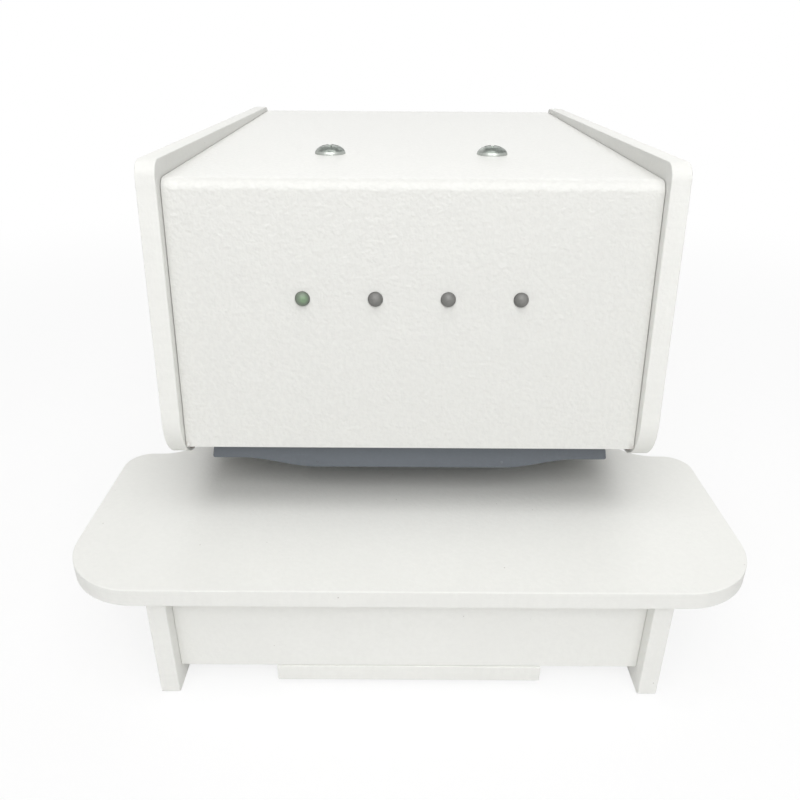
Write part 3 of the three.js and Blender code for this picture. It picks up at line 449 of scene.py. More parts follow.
@dataclass(frozen=True)
class PowderFinish(Finish):
    """Powder coat on sheet steel, with its fine orange peel and the places in metres where it wears thin."""

    stain: float = 0.0
    worn_x: tuple[float, float] = (0.0955, 0.0981)
    worn_z: tuple[float, float] = (0.0926, 0.0975)
    peel: float = 560.0
    fine: float = 1900.0

    def shader(self, graph: Graph) -> Signal:
        """A pale coat with soft dimples, thin at the lower corners.

        Args:
            graph: The material's nodes.

        Returns:
            The shader.
        """
        peel = graph.noise(self.peel, 1.5)
        fine = graph.noise(self.fine, 2.0, 4.0)
        cloud = graph.noise(9.0, 2.0, 2.2)
        side = abs(graph.position.part(Axis.X)).rise(*self.worn_x)
        low = 1.0 - graph.position.part(Axis.Z).rise(*self.worn_z)
        chip_and_painted_highlight = side * low * graph.noise(700.0, 2.0, 6.0).rise(0.38, 0.5)
        dust = graph.specks(210.0, 0.05, 3.0)
        colour = graph.colour(self.colour, [
            (peel.rise(0.3, 0.7) * 0.55, self.shade(0.94)),
            (cloud.rise(0.4, 0.7) * 0.5, self.shade(0.98)),
            (dust * 0.3, self.shade(0.75)),
            (chip_and_painted_highlight * self.stain, paint_colour(130, 112, 98)),
        ])
        return graph.surface(colour, self.roughness + (fine - 0.5) * 0.14, [(peel, 0.34), (fine, 0.04)])


@dataclass(frozen=True)
class PlasticFinish(Finish):
    """Moulded plastic with a fine spark-eroded grain, in cells per metre and millimetres deep."""

    grain: float = 1400.0
    depth: float = 0.025
    scuff: float = 0.5

    def shader(self, graph: Graph) -> Signal:
        """Grain, a cloudy tint and a few rubbed places.

        Args:
            graph: The material's nodes.

        Returns:
            The shader.
        """
        grain = graph.noise(self.grain)
        cloud = graph.noise(24.0, 3.0, 1.7)
        rubbed = graph.noise((60.0, 420.0, 420.0), 3.0, 8.0).rise(0.6, 0.72)
        colour = graph.colour(self.colour, [
            (cloud.rise(0.35, 0.7) * 0.7, self.shade(0.88)),
            (grain.rise(0.4, 0.7) * 0.4, self.shade(1.08)),
            (rubbed * self.scuff * 0.4, self.shade(1.25)),
        ])
        roughness = self.roughness + (grain - 0.5) * 0.16 - rubbed * self.scuff * 0.1
        return graph.surface(colour, roughness, [(grain, self.depth)])


@dataclass(frozen=True)
class MetalFinish(Finish):
    """Bare or plated metal, with the marks of how it was made."""

    lay: Axis | None = None
    tarnish: float = 0.4

    def shader(self, graph: Graph) -> Signal:
        """Lines along the lay, a cloudy tarnish and hair scratches.

        Args:
            graph: The material's nodes.

        Returns:
            The shader.
        """
        lines = graph.lines(760.0, 22.0, self.lay)
        cloud = graph.noise(46.0, 4.0, 5.3)
        hair = graph.noise((35.0, 900.0, 640.0), 1.0, 2.6).rise(0.64, 0.7)
        spots = graph.specks(240.0, 0.09, 4.4)
        colour = graph.colour(self.colour, [
            (cloud.rise(0.35, 0.72) * self.tarnish, self.shade(0.72)),
            (lines.rise(0.35, 0.7) * 0.35, self.shade(0.86)),
            (hair * 0.4, self.shade(1.15)),
            (spots * self.tarnish * 0.6, self.shade(0.5)),
        ])
        roughness = self.roughness + (lines - 0.5) * 0.18 + cloud.rise(0.4, 0.7) * self.tarnish * 0.2
        return graph.surface(colour, roughness, [(lines, 0.012), (hair, 0.01)], {"Metallic": 1.0})


@dataclass(frozen=True)
class DomeFinish(Finish):
    """Nickel on a domed screw, bright round its rim, with a painted dark reflection above it and a painted
    highlight on one flank; its sizes are metres.
    """

    seat: float = 0.2057
    rim: float = 0.0013
    pitch: float = 0.076

    def shader(self, graph: Graph) -> Signal:
        """A pale rim under a mottled crown and top darkened as a painted reflection, lighter on one flank as a
        painted highlight.

        Args:
            graph: The material's nodes.

        Returns:
            The shader.
        """
        height = graph.position.part(Axis.Z) - self.seat
        # Painted reflection: the crown above the rim and the top of each head are darkened, and the left side
        # of each head is lightened as a painted highlight.
        crown = height.rise(self.rim * 0.75, self.rim * 1.3)
        top = height.rise(self.rim * 2.4, self.rim * 2.9)
        across = (graph.position.part(Axis.X) + self.pitch).from_middle(self.pitch)
        painted_highlight_flank = 1.0 - across.rise(-0.006, -0.003)
        mottle = graph.noise(620.0, 3.0, 2.0)
        hair = graph.noise((40.0, 1500.0, 1500.0), 1.0, 4.0).rise(0.6, 0.72)
        colour = graph.colour(self.colour, [
            (mottle.rise(0.4, 0.7) * 0.4, self.shade(0.8)),
            (crown * 0.92, paint_colour(104, 110, 105)),
            (crown * mottle.rise(0.45, 0.65) * 0.6, paint_colour(82, 86, 82)),
            (crown * painted_highlight_flank * 0.7, self.shade(1.05)),
            (top * mottle.rise(0.4, 0.6) * 0.5, self.shade(0.9)),
            (hair * 0.3, self.shade(1.1)),
        ])
        roughness = self.roughness + mottle.rise(0.35, 0.7) * 0.16
        return graph.surface(colour, roughness, [(mottle, 0.05), (hair, 0.01)], {"Metallic": 1.0})


@dataclass(frozen=True)
class LensFinish(Finish):
    """A diffusing lamp lens with a painted highlight beside its middle and painted shade at its rim; its sizes
    are metres.
    """

    # The tint of the painted highlight beside the lens's middle.
    glow: Colour = (0.3, 0.3, 0.3)
    height: float = 0.1587
    pitch: float = 0.03
    radius: float = 0.003
    coat: float = 0.2
    coat_roughness: float = 0.18

    def shader(self, graph: Graph) -> Signal:
        """Lighter and tinted beside the middle as a painted highlight, and darker at its rim as painted shade.

        Args:
            graph: The material's nodes.

        Returns:
            The shader.
        """
        across = (graph.position.part(Axis.X) + self.pitch * 2).from_middle(self.pitch)
        up = graph.position.part(Axis.Z) - self.height
        # Painted shade darkens the rim, and a painted highlight lightens and tints a spot up and to the right
        # of the middle.
        rim = across.distance(up).rise(self.radius * 0.6, self.radius)
        beside, above = across - self.radius * 0.2, up - self.radius * 0.15
        chip_and_painted_highlight = 1.0 - beside.distance(above).rise(self.radius * 0.15, self.radius * 0.9)
        haze = graph.noise(900.0)
        colour = graph.colour(self.colour, [
            (chip_and_painted_highlight * 0.9, self.glow),
            (haze.rise(0.4, 0.7) * 0.35, self.shade(0.86)),
            (rim * 0.38, self.shade(0.62)),
        ])
        others = {"Coat Weight": self.coat, "Coat Roughness": self.coat_roughness}
        return graph.surface(colour, self.roughness + haze * 0.1, [(haze, 0.01)], others)


@dataclass(frozen=True)
class CircuitFinish(Finish):
    """A circuit board's solder mask over copper tracks, with tinned pads."""

    tracks: float = 190.0

    def shader(self, graph: Graph) -> Signal:
        """Tracks round square-cornered cells, with scattered pads.

        Args:
            graph: The material's nodes.

        Returns:
            The shader.
        """
        cells = {"Vector": graph.scaled(self.tracks, 1.5, math.radians(2)), "Scale": 1.0}
        first, second = (graph.value("ShaderNodeTexVoronoi", {"feature": order, "distance": "CHEBYCHEV"},
                                     cells) for order in ("F1", "F2"))
        track = 1.0 - (second - first).rise(0.05, 0.13)
        pads = graph.specks(260.0, 0.2, 6.0)
        weave = graph.noise(1500.0, 1.0)
        colour = graph.colour(self.colour, [
            (track * 0.8, self.shade(1.9)),
            (weave.rise(0.4, 0.7) * 0.25, self.shade(0.8)),
            (pads, paint_colour(196, 198, 194)),
        ])
        bumps = [(track, 0.05), (pads, 0.04)]
        return graph.surface(colour, self.roughness + weave * 0.1, bumps, {"Metallic": pads * 0.8})


@dataclass(frozen=True)
class CaseFinish(Finish):
    """A perforated sheet case: metal with rows of punched holes, in metres."""

    pitch: float = 0.005
    hole: tuple[float, float] = (0.00135, 0.0016)
    # The near-black painted shade inside the holes.
    inside: Colour = (0.008, 0.008, 0.009)

    def shader(self, graph: Graph) -> Signal:
        """Holes on a square grid, on the top alone, painted near black as the shade inside them.

        Args:
            graph: The material's nodes.

        Returns:
            The shader.
        """
        top = graph.normal.part(Axis.Z).rise(0.6, 0.9)
        across, along = (graph.position.part(axis).from_middle(self.pitch) for axis in (Axis.X, Axis.Y))
        hole = top * (1.0 - across.distance(along).rise(*self.hole))
        lines = graph.lines(700.0, 30.0, Axis.X)
        colour = graph.colour(self.colour, [
            (lines.rise(0.35, 0.7) * 0.4, self.shade(0.85)),
            (hole, self.inside),
        ])
        roughness = self.roughness + lines * 0.12 + hole * 0.3
        return graph.surface(colour, roughness, [(1.0 - hole, 0.4), (lines, 0.01)], {"Metallic": 1.0 - hole})


WHITE = paint_colour(235, 235, 231)
BOARDS = {axis: BoardFinish(f"board_skin_{axis.name.lower()}", "white_board", WHITE, 0.46, axis)
          for axis in Axis}
COVER_COAT = PowderFinish("cover_powder", "white_powder", paint_colour(226, 226, 222), 0.36, stain=0.4)
NOSE_GREY = PlasticFinish("nose_plastic", "dark_plastic", paint_colour(104, 110, 117), 0.42,
                          grain=900.0, depth=0.03, scuff=0.6)
BLACK = PlasticFinish("black_moulding", "black_plastic", paint_colour(46, 47, 49), 0.42)
DARK_RUBBER = PlasticFinish("brown_rubber", "black_plastic", paint_colour(112, 105, 100), 0.7,
                            grain=1100.0, depth=0.04, scuff=0.2)
IVORY = PlasticFinish("white_moulding", "white_plastic", paint_colour(222, 222, 216), 0.4,
                      grain=1200.0, depth=0.02, scuff=0.2)
MARK = PlasticFinish("switch_mark", "white_plastic", paint_colour(240, 240, 238), 0.5,
                     grain=1600.0, depth=0.01, scuff=0.0)
NICKEL = DomeFinish("nickel_dome", "bright_steel", paint_colour(172, 176, 171), 0.34)
ROD_STEEL = MetalFinish("drawn_rod", "bright_steel", paint_colour(205, 207, 208), 0.2, Axis.Z, 0.2)
SHAFT_STEEL = MetalFinish("ground_shaft", "bright_steel", paint_colour(205, 207, 208), 0.2, Axis.X, 0.2)
TOOL_STEEL = MetalFinish("tool_steel", "bright_steel", paint_colour(190, 193, 196), 0.24, Axis.X, 0.3)
STAPLE_WIRE = MetalFinish("staple_wire", "bright_steel", paint_colour(205, 208, 211), 0.26, Axis.Y, 0.2)
ZINC = MetalFinish("zinc_plate", "plain_steel", paint_colour(176, 180, 184), 0.36, None, 0.6)
DARK_ZINC = MetalFinish("dark_zinc", "plain_steel", paint_colour(128, 132, 138), 0.5, None, 0.6)
STEEL_Z = MetalFinish("rolled_steel", "plain_steel", paint_colour(160, 163, 166), 0.38, Axis.Z, 0.5)
STEEL_Y = MetalFinish("folded_steel", "plain_steel", paint_colour(172, 175, 178), 0.34, Axis.Y, 0.4)
SPRING = MetalFinish("spring_wire", "plain_steel", paint_colour(150, 152, 156), 0.28, None, 0.35)
SATIN = MetalFinish("satin_aluminium", "aluminium", paint_colour(188, 191, 195), 0.38, Axis.X, 0.25)
CASTING = MetalFinish("gearbox_casting", "aluminium", paint_colour(170, 173, 177), 0.46, None, 0.4)
BRASS = MetalFinish("turned_brass", "brass", paint_colour(196, 168, 104), 0.28, Axis.X, 0.4)
PIN_BRASS = MetalFinish("plated_pins", "brass", paint_colour(206, 190, 150), 0.26, Axis.Y, 0.2)
GREEN_LENS = LensFinish("green_cap", "green_lens", paint_colour(110, 122, 107), 0.4,
                        glow=paint_colour(124, 153, 119))
SMOKED_LENS = LensFinish("smoked_cap", "smoked_lens", paint_colour(112, 112, 109), 0.4,
                         glow=paint_colour(125, 125, 122))
MASK_GREEN = CircuitFinish("solder_mask", "circuit_board", paint_colour(38, 98, 62), 0.35)
CASE_METAL = CaseFinish("punched_case", "aluminium", paint_colour(196, 198, 202), 0.36)


# Shapes, in millimetres


def plate(corners: Iterable[Point], axis: Axis, low: float, high: float, steps: int = 10) -> BMesh:
    """A flat board with rounded corners.

    Args:
        corners: Each corner's two coordinates and, if it is rounded, its radius.
        axis: The direction of its thickness.
        low: Where it starts along that direction.
        high: Where it ends.
        steps: Segments of each rounded corner.

    Returns:
        The board as a closed mesh.
    """
    points = [tuple(corner) + (0.0,) * (3 - len(corner)) for corner in corners]
    shape = bmesh.new()
    face = shape.faces.new([shape.verts.new(axis.place(u, v, low)) for u, v, _ in points])
    grown = bmesh.ops.extrude_face_region(shape, geom=[face])["geom"]
    lifted = [item for item in grown if isinstance(item, bmesh.types.BMVert)]
    bmesh.ops.translate(shape, vec=axis.place(0.0, 0.0, high - low), verts=lifted)
    bmesh.ops.recalc_face_normals(shape, faces=shape.faces)
    for index, (u, v, radius) in enumerate(points):
        if radius == 0:
            continue
        here = Vector((u, v))
        back = (Vector(points[index - 1][:2]) - here).normalized()
        ahead = (Vector(points[(index + 1) % len(points)][:2]) - here).normalized()
        # A round of this radius touches both sides this far from the corner.
        reach = radius / math.tan(back.angle(ahead) / 2)
        ends = [axis.place(u, v, low), axis.place(u, v, high)]
        edges = [edge for edge in shape.edges
                 if all(any((vert.co - end).length < WELD for vert in edge.verts) for end in ends)]
        bmesh.ops.bevel(shape, geom=edges, offset=reach, offset_type="OFFSET", segments=steps, profile=0.5,
                        affect="EDGES", clamp_overlap=False, material=-1)
    return shape


def block(low: Point, high: Point) -> BMesh:
    """A box.

    Args:
        low: Its lowest corner.
        high: Its highest corner.

    Returns:
        The box as a closed mesh.
    """
    shape = bmesh.new()
    bmesh.ops.create_cube(shape, size=1.0)
    bmesh.ops.scale(shape, vec=Vector(high) - Vector(low), verts=shape.verts)
    bmesh.ops.translate(shape, vec=(Vector(high) + Vector(low)) / 2, verts=shape.verts)
    return shape


def turned(profile: Sequence[Point], axis: Axis = Axis.Z, centre: Point = (0, 0, 0), segments: int = 40,
           bored: bool = False) -> BMesh:
    """A piece turned about an axis.

    Args:
        profile: Radius and height of each point, from the axis out and back, or once round a ring.
        axis: The direction of the axle.
        centre: Where the profile's zero height lies on the axle.
        segments: Steps of the turn.
        bored: Whether the profile closes on itself, which leaves a bore.

    Returns:
        The turned mesh.
    """
    shape = bmesh.new()
    points = [shape.verts.new((radius, 0.0, height)) for radius, height in profile]
    edges = [shape.edges.new(pair) for pair in zip(points, points[1:] + (points[:1] if bored else []))]
    bmesh.ops.spin(shape, geom=points + edges, cent=(0, 0, 0), axis=UP, dvec=(0, 0, 0), angle=math.tau,
                   steps=segments, use_merge=True, use_normal_flip=False, use_duplicate=False)
    bmesh.ops.remove_doubles(shape, verts=shape.verts, dist=WELD)
    bmesh.ops.recalc_face_normals(shape, faces=shape.faces)
    return moved(shape, Matrix.Translation(centre) @ axis.from_z())


def rod(radius: float, low: float, high: float, axis: Axis, centre: Point = (0, 0, 0),
        segments: int = 32) -> BMesh:
    """A plain round bar from low to high along an axis through a centre."""
    return turned([(0, low), (radius, low), (radius, high), (0, high)], axis, centre, segments)


def ring(bore: float, radius: float, low: float, high: float, axis: Axis, centre: Point,
         segments: int = 40) -> BMesh:
    """A plain round ring from low to high along an axis through a centre."""
    profile = [(bore, low), (radius, low), (radius, high), (bore, high)]
    return turned(profile, axis, centre, segments, bored=True)


def arc(radius: float, height: float, angles: Iterable[float]) -> list[tuple[float, float]]:
    """Points of a dome's section, by their angles in degrees from the rim up."""
    turns = [math.radians(angle) for angle in angles]
    return [(radius * math.cos(turn), height * math.sin(turn)) for turn in turns]


def coil(radius: float, wire: float, height: float, turns: float, steps: int = 20) -> BMesh:
    """A round wire wound into a helix that stands on z = 0, with closed ends.

    Args:
        radius: From the axis to the middle of the wire.
        wire: The wire's radius.
        height: The coil's whole height.
        turns: How often it goes round.
        steps: Steps of one turn.

    Returns:
        The wound mesh.
    """
    shape = bmesh.new()
    place = Matrix.Translation((radius, 0.0, wire)) @ Matrix.Rotation(SQUARE, 4, "X")
    start = bmesh.ops.create_circle(shape, cap_ends=False, radius=wire, segments=8, matrix=place)["verts"]
    rims = {edge for vert in start for edge in vert.link_edges}
    count = round(steps * turns)
    bmesh.ops.spin(shape, geom=[*start, *rims], cent=(0, 0, 0), axis=UP,
                   dvec=(0.0, 0.0, (height - wire * 2) / count), angle=math.tau * turns, steps=count,
                   use_merge=False, use_normal_flip=False, use_duplicate=False)
    bmesh.ops.holes_fill(shape, edges=[edge for edge in shape.edges if edge.is_boundary], sides=0)
    bmesh.ops.recalc_face_normals(shape, faces=shape.faces)
    return shape


def moved(shape: BMesh, matrix: Matrix) -> BMesh:
    """The same mesh, carried by a matrix."""
    bmesh.ops.transform(shape, matrix=matrix, verts=shape.verts)
    return shape


def facing(look: Point) -> Matrix:
    """The turn that makes Z look along a direction."""
    return Vector(look).to_track_quat("Z", "Y").to_matrix().to_4x4()


def new_mesh(name: str, shape: BMesh) -> bpy.types.Mesh:
    """Turns a shape into mesh data and frees it.

    Args:
        name: The data's name.
        shape: The shape.

    Returns:
        The mesh data.
    """
    mesh = bpy.data.meshes.new(name)
    shape.to_mesh(mesh)
    shape.free()
    return mesh


def new_object(name: str, data: bpy.types.ID) -> bpy.types.Object:
    """Puts new data into the scene.

    Args:
        name: The object's name.
        data: Its mesh, light or camera.

    Returns:
        The object.
    """
    made = bpy.data.objects.new(name, data)
    bpy.context.scene.collection.objects.link(made)
    return made


def copies(mesh: bpy.types.Mesh, matrices: Iterable[Matrix]) -> BMesh:
    """Copies of one mesh as one shape.

    Args:
        mesh: The mesh.
        matrices: What carries each copy to its place.

    Returns:
        The copies, each left whole.
    """
    whole = bmesh.new()
    for matrix in matrices:
        known = len(whole.verts)
        whole.from_mesh(mesh)
        whole.verts.ensure_lookup_table()
        bmesh.ops.transform(whole, matrix=matrix, verts=whole.verts[known:])
    return whole


def gathered(shapes: Iterable[BMesh]) -> BMesh:
    """Several shapes as one.

    Args:
        shapes: The shapes, which are used up.

    Returns:
        All of them, each left whole.
    """
    whole = bmesh.new()
    for shape in shapes:
        mesh = new_mesh("gathered", shape)
        whole.from_mesh(mesh)
        bpy.data.meshes.remove(mesh)
    return whole


def boolean(shape: BMesh, tools: Iterable[BMesh], operation: str = "DIFFERENCE") -> BMesh:
    """Cuts closed shapes out of a closed shape, or joins them to it.

    Args:
        shape: The shape that is changed.
        tools: The shapes that change it.
        operation: DIFFERENCE or UNION.

    Returns:
        The new mesh.
    """
    helpers = [new_object("helper", new_mesh("helper", source)) for source in (shape, *tools)]
    body, *others = helpers
    for other in others:
        cutter = body.modifiers.new("cutter", "BOOLEAN")
        cutter.operation = operation
        cutter.solver = "EXACT"
        cutter.object = other
    evaluated = body.evaluated_get(bpy.context.evaluated_depsgraph_get())
    result = bmesh.new()
    result.from_mesh(evaluated.to_mesh())
    evaluated.to_mesh_clear()
    for helper in helpers:
        mesh = helper.data
        bpy.data.objects.remove(helper)
        bpy.data.meshes.remove(mesh)
    bmesh.ops.remove_doubles(result, verts=result.verts, dist=WELD)
    return result


def node_box(node: str) -> tuple[Vector, Vector]:
    """The lowest and highest corner of a CAD node, in millimetres."""
    low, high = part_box(node)
    return low / MILLI, high / MILLI


def node_middle(node: str) -> Vector:
    """The middle of a CAD node's box, in millimetres."""
    low, high = node_box(node)
    return (low + high) / 2


def node_shape(node: str) -> BMesh:
    """A welded copy of a CAD node, with its flat faces made whole.

    Args:
        node: The node's name.

    Returns:
        The copy in millimetres.
    """
    shape = bmesh.new()
    shape.from_mesh(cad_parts[node].data)
    bmesh.ops.scale(shape, vec=(1 / MILLI,) * 3, verts=shape.verts)
    bmesh.ops.remove_doubles(shape, verts=shape.verts, dist=WELD)
    bmesh.ops.dissolve_limit(shape, angle_limit=COPLANAR, use_dissolve_boundaries=False,
                             verts=shape.verts, edges=shape.edges)
    return shape


def make_piece(name: str, shape: BMesh, body: str, finish: Finish, edge: float = 0.0, segments: int = 2,
               stands_for: Sequence[str] = ()) -> bpy.types.Object:
    """Makes one finished piece of the machine.

    Args:
        name: The piece's name.
        shape: Its mesh in millimetres, in the place that it has at rest.
        body: The CAD body that carries it.
        finish: What its surface is.
        edge: The width of its eased edges in millimetres, or zero for none.
        segments: Segments of an eased edge.
        stands_for: The CAD nodes that it replaces.

    Returns:
        The finished object.
    """
    bmesh.ops.scale(shape, vec=(MILLI,) * 3, verts=shape.verts)
    # A face is shaded as part of a round only where it meets another at a shallow angle.
    for face in shape.faces:
        face.smooth = any(FLATNESS < line.calc_face_angle(0.0) < CREASE for line in face.edges)
    if edge == 0:
        for line in shape.edges:
            line.smooth = line.calc_face_angle(0.0) < CREASE
    mesh = new_mesh(name, shape)
    mesh.materials.append(finish.material())
    piece = new_object(name, mesh)
    if edge > 0:
        easing = piece.modifiers.new("eased_edges", "BEVEL")
        easing.width = edge * MILLI
        easing.segments = segments
        easing.profile = 0.5
        easing.limit_method = "ANGLE"
        easing.angle_limit = CREASE
        easing.harden_normals = True
        easing.material = -1
    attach(piece, body)
    if stands_for:
        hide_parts(*stands_for)
    log.info("%s on %s: %d faces", name, body, len(mesh.polygons))
    return piece


def dress(node: str, body: str, finish: Finish, edge: float = 0.0, segments: int = 2,
          shape: BMesh | None = None) -> bpy.types.Object:
    """Puts a piece in a CAD node's place, under the node's name with _made after it.

    Args:
        node: The node that the piece stands for.
        body: The CAD body that carries it.
        finish: What its surface is.
        edge: The width of its eased edges in millimetres, or zero for none.
        segments: Segments of an eased edge.
        shape: Its mesh in millimetres, or None for a copy of the node.

    Returns:
        The finished object.
    """
    return make_piece(f"{node}_made", shape or node_shape(node), body, finish, edge, segments, [node])


@dataclass(frozen=True)
class Screw:
    """A kind of screw head with a cross recess, in millimetres."""

    radius: float
    height: float
    recess: float
    flat: bool = False

    def profile(self) -> list[tuple[float, float]]:
        """The head's section, from the axis out and over its crown.

        Returns:
            Radius and height of each point.
        """
        sunk, neck = self.radius * 0.55, self.radius * (0.45 if self.flat else 0.5)
        if self.flat:
            under, angles = [(self.radius, -0.05)], (12, 35, 60, 75)
        else:
            under, angles = [(neck, -0.02), (self.radius, -0.02)], range(0, 90, 15)
        return [(0, -sunk), (neck, -sunk), *under, *arc(self.radius, self.height, angles), (0, self.height)]

    @lru_cache(maxsize=None)
    def mesh(self) -> bpy.types.Mesh:
        """The head's mesh, standing on z = 0, made on first use.

        Returns:
            The mesh data, shared by every head of this kind.
        """
        wide, depth, taper = self.recess * 0.17, self.recess * 0.4, 0.55
        arms = []
        for long, short in ((self.recess, wide), (wide, self.recess)):
            arm = block((-long / 2, -short / 2, self.height - depth), (long / 2, short / 2, self.height + 1))
            for vert in arm.verts:
                if vert.co.z < self.height:
                    vert.co.x *= taper
                    vert.co.y *= taper
            arms.append(arm)
        return new_mesh("screw_head", boolean(turned(self.profile(), segments=28), arms))

    def heads(self, places: Iterable[Place]) -> BMesh:
        """Heads of this kind, set into a piece.

        Args:
            places: For each, its point in millimetres, the way that it looks, and its turn in degrees.

        Returns:
            All the heads as one shape.
        """
        matrices = [Matrix.Translation(point) @ facing(look) @ Matrix.Rotation(math.radians(turn), 4, "Z")
                    for point, look, turn in places]
        return copies(self.mesh(), matrices)


BOARD_SCREW = Screw(3.3, 0.6, 3.2, flat=True)
ANVIL_SCREW = Screw(2.4, 0.1, 2.4, flat=True)
PRESS_SCREW = Screw(3.4, 2.0, 3.6)
TERMINAL_SCREW = Screw(2.6, 1.1, 3.0)
NOSE_PIN = Screw(0.7, 0.25, 0.8)
COVER_FASTENER = Screw(7.2, 4.0, 9.4)


# Sub-assemblies, in millimetres

SCREW_SINK = 0.05
TABLE_TOP = 58.5
CAM_AXLE = (-23.0, 148.0)  # y and z


@dataclass
class Housing:
    """The boards: two side plates, the worktable, the panels of the base and the back."""

    front: float = -167.0
    rear: float = 167.0
    inner: float = 99.0
    outer: float = 107.0
    board: float = 8.0
    edge: float = 0.45
    plate_front_top: float = 213.0
    plate_rear_top: float = 208.5
    cover_top: float = 205.7
    head_edge: float = 84.2
    head_setback: float = 63.0
    lean: float = math.radians(6.45)
    throat_back: float = -19.0
    leg_setback: float = 2.1
    foot_round: float = 2.0
    top_round: float = 7.0
    chin_round: float = 20.0
    throat_round: float = 4.5
    wing_depth: float = 106.5
    table_round: float = 33.0
    wing_round: float = 12.0
    tongue_round: float = 22.0
    pocket_gap: float = 0.3
    slot_low: tuple[float, float, float] = (-3.2, -38.0, 40.0)
    slot_high: tuple[float, float, float] = (3.2, -26.0, 70.0)
    front_row: float = -154.4
    bottom_row: float = 6.2
    rear_row: float = 157.0
    table_row: float = 54.5

    def head_front(self, height: float) -> float:
        """Where the side plates' front edge lies at a height."""
        return self.front + self.head_setback - math.tan(self.lean) * (self.cover_top - height)

    def build(self) -> None:
        """Makes every board with its screws."""
        for side in Side:
            self.side_plate(side)
            self.side_screws(side)
        self.worktable()
        self.panels()

    def side_plate(self, side: Side) -> None:
        """One side plate: head above, legs below.

        Args:
            side: Left or right.
        """
        table_bottom = TABLE_TOP - self.board
        leg_front = self.front + self.leg_setback
        top, chin = self.plate_front_top, self.head_edge
        outline = [
            (leg_front, 0, self.foot_round), (self.rear, 0, self.foot_round),
            (self.rear, self.plate_rear_top, self.top_round), (self.head_front(top), top, self.top_round),
            (self.head_front(chin), chin, self.chin_round), (self.throat_back, chin, self.throat_round),
            (self.throat_back, table_bottom, self.throat_round), (leg_front, table_bottom, self.foot_round),
        ]
        low, high = sorted((side.value * self.inner, side.value * self.outer))
        shape = plate(outline, Axis.X, low, high, steps=14)
        dress(f"side_plate_{side.word}", "frame", BOARDS[Axis.X], self.edge, 3, shape)

    def side_screws(self, side: Side) -> None:
        """Countersunk screws that hold the cross boards, on a plate's outer face.

        Args:
            side: Left or right.
        """
        spots = [(self.front_row, z) for z in (20, 42)] + [(y, self.bottom_row) for y in (-120, -40, 40, 120)]
        spots += [(self.rear_row, z) for z in (40, 105, 170)] + [(y, self.table_row) for y in (10, 70, 130)]
        x = side.value * (self.outer - SCREW_SINK)
        places = [((x, y, z), (side.value, 0, 0), 17 * index) for index, (y, z) in enumerate(spots)]
        make_piece(f"side_screws_{side.word}", BOARD_SCREW.heads(places), "frame", ZINC)

    def worktable(self) -> None:
        """The wide board with its rounded corners, anvil pocket and trigger slot."""
        low, high = node_box("worktable")
        anvil_low, anvil_high = node_box("anvil_plate")
        wing, tongue = low.y + self.wing_depth, self.outer
        outline = [
            (low.x, low.y, self.table_round), (high.x, low.y, self.table_round),
            (high.x, wing, self.wing_round), (tongue, wing, self.tongue_round), (tongue, high.y),
            (-tongue, high.y), (-tongue, wing, self.tongue_round), (low.x, wing, self.wing_round),
        ]
        gap, above = self.pocket_gap, self.slot_high[2]
        pocket = block((anvil_low.x - gap, anvil_low.y - gap, anvil_low.z),
                       (anvil_high.x + gap, anvil_high.y + gap, above))
        slot = block(self.slot_low, self.slot_high)
        shape = boolean(plate(outline, Axis.Z, low.z, high.z, steps=20), [pocket, slot])
        dress("worktable", "frame", BOARDS[Axis.Z], 0.5, 3, shape)
        dress("anvil_plate", "frame", TOOL_STEEL, 0.25)
        spot = Vector((anvil_high.x - 4, (anvil_low.y + anvil_high.y) / 2, anvil_high.z - SCREW_SINK))
        places = [((side.value * spot.x, spot.y, spot.z), UP, 20.0) for side in Side]
        make_piece("anvil_screws", ANVIL_SCREW.heads(places), "frame", ZINC)

    def panels(self) -> None:
        """The panels, the bottom, the shelf and the screws of the back."""
        boards = {"base_front_panel": Axis.Y, "bottom_plate": Axis.Z, "paper_stop": Axis.Y,
                  "inner_shelf": Axis.Z, "rear_panel": Axis.Y}
        for node, thickness in boards.items():
            dress(node, "frame", BOARDS[thickness], self.edge)
        _, high = node_box("rear_panel")
        spots = [(x, z) for z in (22, 100, 180) for x in (-92, 92)] + [(30, 14.5), (-30, 14.5)]
        places = [((x, high.y - SCREW_SINK, z), REARWARD, 31.0 * x) for x, z in spots]
        make_piece("rear_screws", BOARD_SCREW.heads(places), "frame", ZINC)


